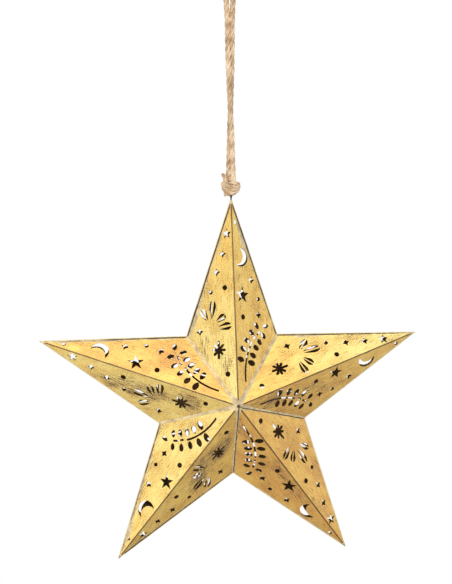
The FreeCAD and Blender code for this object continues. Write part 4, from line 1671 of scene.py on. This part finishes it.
    def tip_solder(self, arm: Arm) -> Mesh:
        """Make the cap on a tip: four uneven faces that meet just past it.

        Args:
            arm: The arm.

        Returns:
            The mesh, in metres.
        """
        form = self.form
        seed = self.tip_seed + arm.value
        mesh = bmesh.new()
        sides = self.tip_sides
        bmesh.ops.create_cone(mesh, cap_ends=False, segments=sides, radius1=1.0, radius2=0.0, depth=1.0)
        bmesh.ops.subdivide_edges(mesh, edges=mesh.edges[:], cuts=self.tip_cuts, use_grid_fill=True)
        depth_slope = form.depth / form.radius
        for vert in mesh.verts:
            share = min(max(0.5 - vert.co.z, 0.0), 1.0)
            angle = math.atan2(vert.co.y, vert.co.x)
            drop = share * (self.tip_length + waves(seed, math.degrees(angle), *self.tip_waves))
            girth = 1 / (abs(math.cos(angle)) / form.tip_slope + abs(math.sin(angle)) / depth_slope)
            radius = drop * girth + (self.tip_cover if share < self.edge_share else self.tip_sunk)
            top = form.radius - drop + self.tip_bead * (1 - smooth(0, self.tip_bead_reach, share))
            vert.co = Vector((radius * math.cos(angle), radius * math.sin(angle), top))
        shade_smooth(mesh)
        bmesh.ops.remove_doubles(mesh, verts=mesh.verts[:], dist=self.tip_weld)
        bmesh.ops.recalc_face_normals(mesh, faces=mesh.faces[:])

        def stain(point: Vector) -> float:
            """Return how stained the cap is at a point."""
            return self.tip_stain + waves(seed, point.z, self.tip_stain_wave)

        self.paint(mesh, stain, lambda _: self.tip_gilt)
        return form.put(mesh, arm, Face.FRONT, Side.MOON)


# Eye and cord


@dataclass
class WireEye:
    """The ring of wire on a shank that the star hangs by."""

    form: StarForm
    wire: Material
    ring_radius: float = 2.6
    wire_radius: float = 0.6
    shank_radius: float = 0.5
    shank_length: float = 14.0
    shank_steps: int = 8
    ring_height: float = -173.0
    ring_steps: int = 40
    ring_sides: int = 16
    shank_sides: int = 12

    def build(self) -> None:
        """Build the ring and its shank as one piece."""
        ring = bmesh.new()
        bmesh.ops.create_circle(ring, cap_ends=False, segments=self.ring_sides, radius=self.wire_radius)
        bmesh.ops.translate(ring, verts=ring.verts[:], vec=(self.ring_radius, 0, 0))
        bmesh.ops.rotate(ring, verts=ring.verts[:], matrix=Matrix.Rotation(math.radians(90), 3, "X"))
        section = ring.verts[:] + ring.edges[:]
        steps = self.ring_steps
        bmesh.ops.spin(ring, geom=section, axis=(0, 0, 1), angle=math.tau, steps=steps, use_merge=True)
        bmesh.ops.rotate(ring, verts=ring.verts[:], matrix=Matrix.Rotation(math.radians(90), 3, "Y"))
        bmesh.ops.translate(ring, verts=ring.verts[:], vec=(0, 0, self.ring_height))
        bmesh.ops.recalc_face_normals(ring, faces=ring.faces[:])
        foot = self.form.centre.z + self.form.radius - self.shank_length
        ends = (foot, self.ring_height - self.ring_radius)
        line = [Vector((0, 0, between(ends, i / self.shank_steps))) for i in range(self.shank_steps + 1)]
        shank = tube(Track(line), lambda _: self.shank_radius, self.shank_sides)
        mesh = in_metres(join([ring, shank]))
        shade_smooth(mesh)
        piece = make_piece("wire_eye", mesh, self.wire)
        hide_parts("hanging_eye")
        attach(piece, "star")


@dataclass
class JuteCord:
    """The knotted loop of three-ply jute: its long loop, its knot, its bight and loose fibres.

    A turn of the knot is how far its middle stands out and sags, and how far its left end is raised.
    """

    jute: Material
    diameter: float = 3.4
    loose_diameter: float = 4.3
    plies: int = 3
    ply_sides: int = 9
    ply_swell: float = 1.1
    ply_wave: Triple = (20, 0.16, 5)
    lay: float = 19.0
    lay_wave: Triple = (0, 0.16, 7)
    route: tuple[Triple, ...] = (
        (1.69, -0.98, -163.2),
        (0.75, -1.80, -132.0),
        (-0.50, -1.88, -103.0),
        (-1.55, -1.19, -72.0),
        (-1.95, 0.0, -29.0),
        (-4.83, 0.0, -0.51),
        (0.0, 0.0, 2.41),
        (4.83, 0.0, -0.51),
        (1.95, 0.0, -29.0),
        (1.55, 1.19, -72.0),
        (0.50, 1.88, -103.0),
        (-0.75, 1.80, -132.0),
        (-1.69, 0.98, -163.2),
    )
    route_steps: int = 60
    knot_height: float = -166.4
    body_half: float = 2.2
    body_rise: float = 0.62
    body_middle: Pair = (-0.5, 0.8)
    body_steps: int = 120
    hairless: float = 11.0
    bight_bend: float = -170.0
    bight_radius: float = 3.0
    bight_steps: int = 36
    turn_reach: float = 5.9
    turn_steps: int = 48
    turns: tuple[Triple, ...] = ((5.6, 5.8, 0.0), (5.1, 1.2, 1.3), (5.4, 3.5, -0.5))
    end: tuple[Triple, ...] = ((-3.6, -3.4, -2.4), (-4.9, -4.0, -5.2), (-4.5, -3.9, -8.0))
    tail: tuple[Triple, ...] = ((-4.2, -1.4, 1.0), (-4.6, -1.9, 4.8), (-5.6, -2.0, 8.448), (-7.2, -1.8, 7.68))
    guide_steps: int = 8
    sizes: tuple[float, ...] = (3.4, 3.3, 2.8, 2.9, 3.3, 3.0, 2.9, 3.3, 3.0)
    loop_seed: int = 1
    knot_seed: int = 5
    bight_seed: int = 9
    phase_step: float = 40.0
    loop_hairs: tuple[int, float] = (420, 4.0)
    knot_hairs: tuple[int, float] = (110, 2.8)
    hair_radius: float = 0.045
    hair_taper: float = 0.6
    hair_steps: int = 5
    hair_root: float = 0.42
    hair_away: Pair = (2.5, 0.4)
    hair_lengths: Pair = (0.4, 1.0)
    hair_leans: Pair = (0.8, 2.4)
    hair_curl: float = 0.5
    hair_weights: Triple = (0.33, 0.3, 0.36)

    def read_spline(self, points: Sequence[Triple], steps: int) -> list[Vector]:
        """Read points from a smooth line that a route guides.

        Args:
            points: The route, in millimetres.
            steps: Points to read between each two.

        Returns:
            The line's points, in millimetres.
        """
        curve = bpy.data.curves.new("route", "CURVE")
        curve.dimensions = "3D"
        curve.resolution_u = steps
        spline = curve.splines.new("NURBS")
        spline.points.add(len(points) - 1)
        for target, point in zip(spline.points, points):
            target.co = (*point, 1.0)
        spline.order_u = 3
        spline.use_endpoint_u = True
        guide = show("route", curve)
        read = bpy.data.meshes.new_from_object(guide)
        line = [vert.co.copy() for vert in read.vertices]
        bpy.data.meshes.remove(read)
        bpy.data.objects.remove(guide)
        bpy.data.curves.remove(curve)
        return line

    def beside_knot(self, guide: Sequence[Triple]) -> list[Vector]:
        """Return a short line whose guide gives its heights from the knot's middle."""
        return self.read_spline([(x, y, self.knot_height + z) for x, y, z in guide], self.guide_steps)

    def ply(self, points: Sequence[Vector], radius: float, seed: float) -> Mesh:
        """Return one ply, a tube of uneven thickness along its points."""
        track = Track(points)
        return tube(
            track,
            lambda share: radius * (1 + waves(seed, share * track.length, self.ply_wave)),
            self.ply_sides,
        )

    def yarn(self, line: Sequence[Vector], diameter: float, seed: int, phase: float = 0.0) -> Mesh:
        """Lay three plies round a line.

        Args:
            line: The cord's centre line, in millimetres.
            diameter: The cord's diameter.
            seed: Picks its unevenness.
            phase: Turns the plies at the start, in degrees.

        Returns:
            The cord's mesh, in metres.
        """
        track = Track(line)
        radius = diameter / 2 / (1 + 2 / math.sqrt(3))
        plies = []
        for k in range(self.plies):
            first = math.radians(phase + 360 * k / self.plies)
            points = []
            for i, along in enumerate(track.lengths):
                reach = (diameter / 2 - radius) * (1 + waves(seed + k, along, self.lay_wave))
                points.append(track.beside(i, first + math.tau * along / self.lay, reach))
            plies.append(self.ply(points, radius * self.ply_swell, seed + k))
        mesh = in_metres(join(plies))
        shade_smooth(mesh)
        return mesh

    def body_line(self) -> list[Vector]:
        """Return the flattened overhand turns of the knot's body."""
        half, rise = self.body_half, self.body_rise
        aside, above = self.body_middle
        points = []
        for i in range(self.body_steps + 1):
            t = math.tau * i / self.body_steps
            across = aside + half * (math.sin(t) + 2 * math.sin(2 * t))
            height = self.knot_height + above + rise * (math.cos(t) - 2 * math.cos(2 * t))
            points.append(Vector((across, half * math.sin(3 * t), height)))
        return points

    def turn_line(self, hand: int, depth: float, drop: float, lean: float) -> list[Vector]:
        """Draw a turn that sags from end to end of the knot.

        Args:
            hand: -1 for a turn before the wire ring and 1 for one behind it.
            depth: How far its middle stands to the front or the back.
            drop: How far its middle sags.
            lean: How much higher its left end is than its middle line.

        Returns:
            The turn's centre line, in millimetres.
        """
        points = []
        for i in range(self.turn_steps + 1):
            t = math.pi * i / self.turn_steps
            sag = math.sin(t)
            height = self.knot_height - drop * sag + lean * math.cos(t)
            points.append(Vector((-self.turn_reach * math.cos(t), hand * depth * sag, height)))
        return points

    def bight_line(self) -> list[Vector]:
        """Return the turn that carries the wire ring."""
        radius, steps = self.bight_radius, self.bight_steps
        angles = [math.pi * i / steps for i in range(steps + 1)]
        return [Vector((-radius * math.cos(a), 0, self.bight_bend - radius * math.sin(a))) for a in angles]

    def knot_lines(self) -> list[list[Vector]]:
        """Return the knot's body, its cut end beside the cord, its hanging end and its turns."""
        lines = [self.body_line(), self.beside_knot(self.tail), self.beside_knot(self.end)]
        for hand in (-1, 1):
            lines += [self.turn_line(hand, depth, drop, -lean * hand) for depth, drop, lean in self.turns]
        return lines

    def hair_thickness(self, share: float) -> float:
        """Return a hair's radius at a share of its length."""
        return self.hair_radius * (1 - self.hair_taper * share)

    def fibres(
        self,
        lines: Sequence[Sequence[Vector]],
        hairs: tuple[int, float],
        seed: str,
        middle: Vector | None = None,
    ) -> Mesh:
        """Make loose hairs that stand off a cord.

        Args:
            lines: Centre lines of the cords, in millimetres.
            hairs: Number of hairs and the length of the longest.
            seed: Picks them.
            middle: The middle that the hairs point away from, if any.

        Returns:
            The hairs' mesh, in metres.
        """
        rng = random.Random(seed)
        count, longest = hairs
        meshes = []
        for _ in range(count):
            line = rng.choice(list(lines))
            index = rng.randrange(1, len(line) - 1)
            along = (line[index + 1] - line[index - 1]).normalized()
            out = Vector([rng.gauss(0, 1) for _ in range(3)])
            if middle is not None:
                directed, random_share = self.hair_away
                out = (line[index] - middle).normalized() * directed + out * random_share
            out = (out - along * out.dot(along)).normalized()
            length = rng.uniform(*self.hair_lengths) ** 2 * longest
            lean = along * rng.choice((-1, 1)) * rng.uniform(*self.hair_leans)
            curl = Vector([rng.gauss(0, self.hair_curl) for _ in range(3)])
            start = line[index] + out * self.diameter * self.hair_root
            outwards, aslant, curled = self.hair_weights
            points = []
            for share in (i / self.hair_steps for i in range(self.hair_steps + 1)):
                way = out * outwards + lean * aslant + curl * share * curled
                points.append(start + way * (length * share))
            meshes.append(tube(Track(points), self.hair_thickness, 3))
        return in_metres(join(meshes))

    def build(self) -> None:
        line = self.read_spline(self.route, self.route_steps)
        yarn = self.yarn(line, self.loose_diameter, self.loop_seed)
        loop = make_piece("jute_loop", yarn, self.jute)
        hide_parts("cord_loop")
        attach(loop, "loop")
        turns = self.knot_lines()
        yarns = [
            self.yarn(turn, size, self.knot_seed + i, self.phase_step * i)
            for i, (turn, size) in enumerate(zip(turns, self.sizes))
        ]
        knot = make_piece("jute_knot", join(yarns), self.jute)
        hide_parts("cord_knot")
        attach(knot, "knot")
        yarn = self.yarn(self.bight_line(), self.diameter, self.bight_seed)
        bight = make_piece("jute_bight", yarn, self.jute)
        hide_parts("cord_bight")
        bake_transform(bight)
        above = [point for point in line if point.z > self.knot_height + self.hairless]
        hairs = make_piece("jute_loop_fibres", self.fibres([above], self.loop_hairs, "loop"), self.jute)
        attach(hairs, "loop")
        middle = Vector((0, 0, self.knot_height))
        knot_fibres = self.fibres(turns, self.knot_hairs, "knot", middle)
        knot_hairs = make_piece("jute_knot_fibres", knot_fibres, self.jute)
        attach(knot_hairs, "knot")
        length = Track(line).length
        LOG.info("cord loop is %.1f mm long", length)


# Studio


@dataclass(frozen=True)
class Lamp:
    """A square soft lamp that faces the star, with its place and side in metres."""

    name: str
    place: Triple
    size: float
    watts: float
    colour: str


@dataclass
class Studio:
    """The camera at the photograph's angle, soft lamps, a pale floor and a white world."""

    form: StarForm
    azimuth: float = -7.07
    elevation: float = 4.95
    roll: float = -0.443
    shift_right: float = 5.175
    shift_up: float = -83.888
    distance: float = 718.9
    focal_px: float = 900.0
    photo_height_px: int = 584
    sensor_mm: float = 36.0
    nearest: float = 0.01
    lamps: tuple[Lamp, ...] = (
        Lamp("key_lamp", (-0.12, -1.0, 0.42), 0.7, 10.0, "#FFF6E8"),
        Lamp("left_lamp", (-1.0, -0.75, -0.85), 0.6, 4.8, "#FFF6E8"),
        Lamp("fill_lamp", (1.0, -0.9, -0.5), 0.9, 1.5, "#F4F6FF"),
    )
    sky: str = "#F4F1EC"
    sky_strength: float = 0.55
    floor_colour: str = "#EDEBE7"
    floor_roughness: float = 0.9
    floor_height: float = -1.6
    floor_radius: float = 1.4
    floor_sides: int = 64

    def axes(self) -> tuple[Vector, Vector, Vector]:
        """Return the camera's right, up and back axes."""
        azimuth, elevation, roll = map(math.radians, (self.azimuth, self.elevation, self.roll))
        level = math.cos(elevation)
        back = Vector((math.sin(azimuth) * level, -math.cos(azimuth) * level, math.sin(elevation)))
        right = Vector((math.cos(azimuth), math.sin(azimuth), 0))
        up = back.cross(right)
        return (
            right * math.cos(roll) + up * math.sin(roll),
            up * math.cos(roll) - right * math.sin(roll),
            back,
        )

    def camera(self) -> None:
        """Set the camera where the photograph was taken from."""
        right, up, back = self.axes()
        offset = right * -self.shift_right + up * -self.shift_up + back * self.distance
        data = bpy.data.cameras.new("camera")
        data.sensor_fit = "VERTICAL"
        data.sensor_height = self.sensor_mm
        data.lens = self.focal_px / self.photo_height_px * self.sensor_mm
        data.clip_start = self.nearest
        camera = show("camera", data)
        turn = Matrix((right, up, back)).transposed().to_4x4()
        camera.matrix_world = Matrix.Translation((self.form.centre + offset) * MM) @ turn
        bpy.context.scene.camera = camera

    def hang(self, lamp: Lamp) -> None:
        """Hang a lamp where it belongs.

        Args:
            lamp: The lamp.
        """
        data = bpy.data.lights.new(lamp.name, "AREA")
        data.shape = "SQUARE"
        data.size = lamp.size
        data.energy = lamp.watts
        data.color = linear(lamp.colour)[:3]
        place = Vector(lamp.place)
        facing = (place - self.form.centre * MM).to_track_quat("Z", "Y")
        show(lamp.name, data).matrix_world = Matrix.Translation(place) @ facing.to_matrix().to_4x4()

    def world(self) -> None:
        """Light the scene evenly, and show white to the camera and in gloss."""
        world = bpy.data.worlds.new("studio")
        world.use_nodes = True
        tree = world.node_tree
        tree.nodes.clear()
        path = add(tree, "ShaderNodeLightPath").outputs
        shown = path["Is Camera Ray"]
        for name in ("Is Glossy Ray", "Is Transmission Ray"):
            shown = add(tree, "ShaderNodeMath", {0: shown, 1: path[name]}, operation="MAXIMUM")
        soft = add(tree, "ShaderNodeBackground", {"Color": linear(self.sky), "Strength": self.sky_strength})
        white = add(tree, "ShaderNodeBackground", {"Color": (1, 1, 1, 1), "Strength": 1.0})
        mix = add(tree, "ShaderNodeMixShader", {0: shown, 1: soft, 2: white})
        add(tree, "ShaderNodeOutputWorld", {"Surface": mix})
        bpy.context.scene.world = world

    def floor(self) -> None:
        """Lay a pale round floor well under the hanging star."""
        material = empty_material("matt_pale_floor")
        tree = material.node_tree
        inputs = {"Base Color": linear(self.floor_colour), "Roughness": self.floor_roughness}
        add(tree, "ShaderNodeOutputMaterial", {"Surface": add(tree, "ShaderNodeBsdfPrincipled", inputs)})
        mesh = bmesh.new()
        sides = self.floor_sides
        bmesh.ops.create_circle(mesh, cap_ends=True, segments=sides, radius=self.floor_radius)
        bmesh.ops.translate(mesh, verts=mesh.verts[:], vec=(0, 0, self.floor_height))
        make_piece("floor", mesh, material)

    def build(self) -> None:
        """Set up the camera, lamps, world and floor."""
        self.camera()
        for lamp in self.lamps:
            self.hang(lamp)
        self.world()
        self.floor()
        bpy.context.scene.view_settings.view_transform = "Standard"


def main() -> None:
    """Build the whole ornament and its studio."""
    logging.basicConfig(level=logging.INFO, format="%(message)s")
    form = StarForm.measured()
    LOG.info("star radius %.2f, valley %.2f, depth %.2f", form.radius, form.valley, form.depth)
    Studio(form).build()
    JuteCord(JuteYarn().make()).build()
    WireEye(form, IRON_WIRE.make()).build()
    PiercedPanels(form, LacqueredTin().make(), SHADED_TIN_INSIDE.make(), SHEARED_EDGE.make()).build()
    SolderWork(form, SoftSolder().make()).build()


if __name__ == "__main__":
    main()
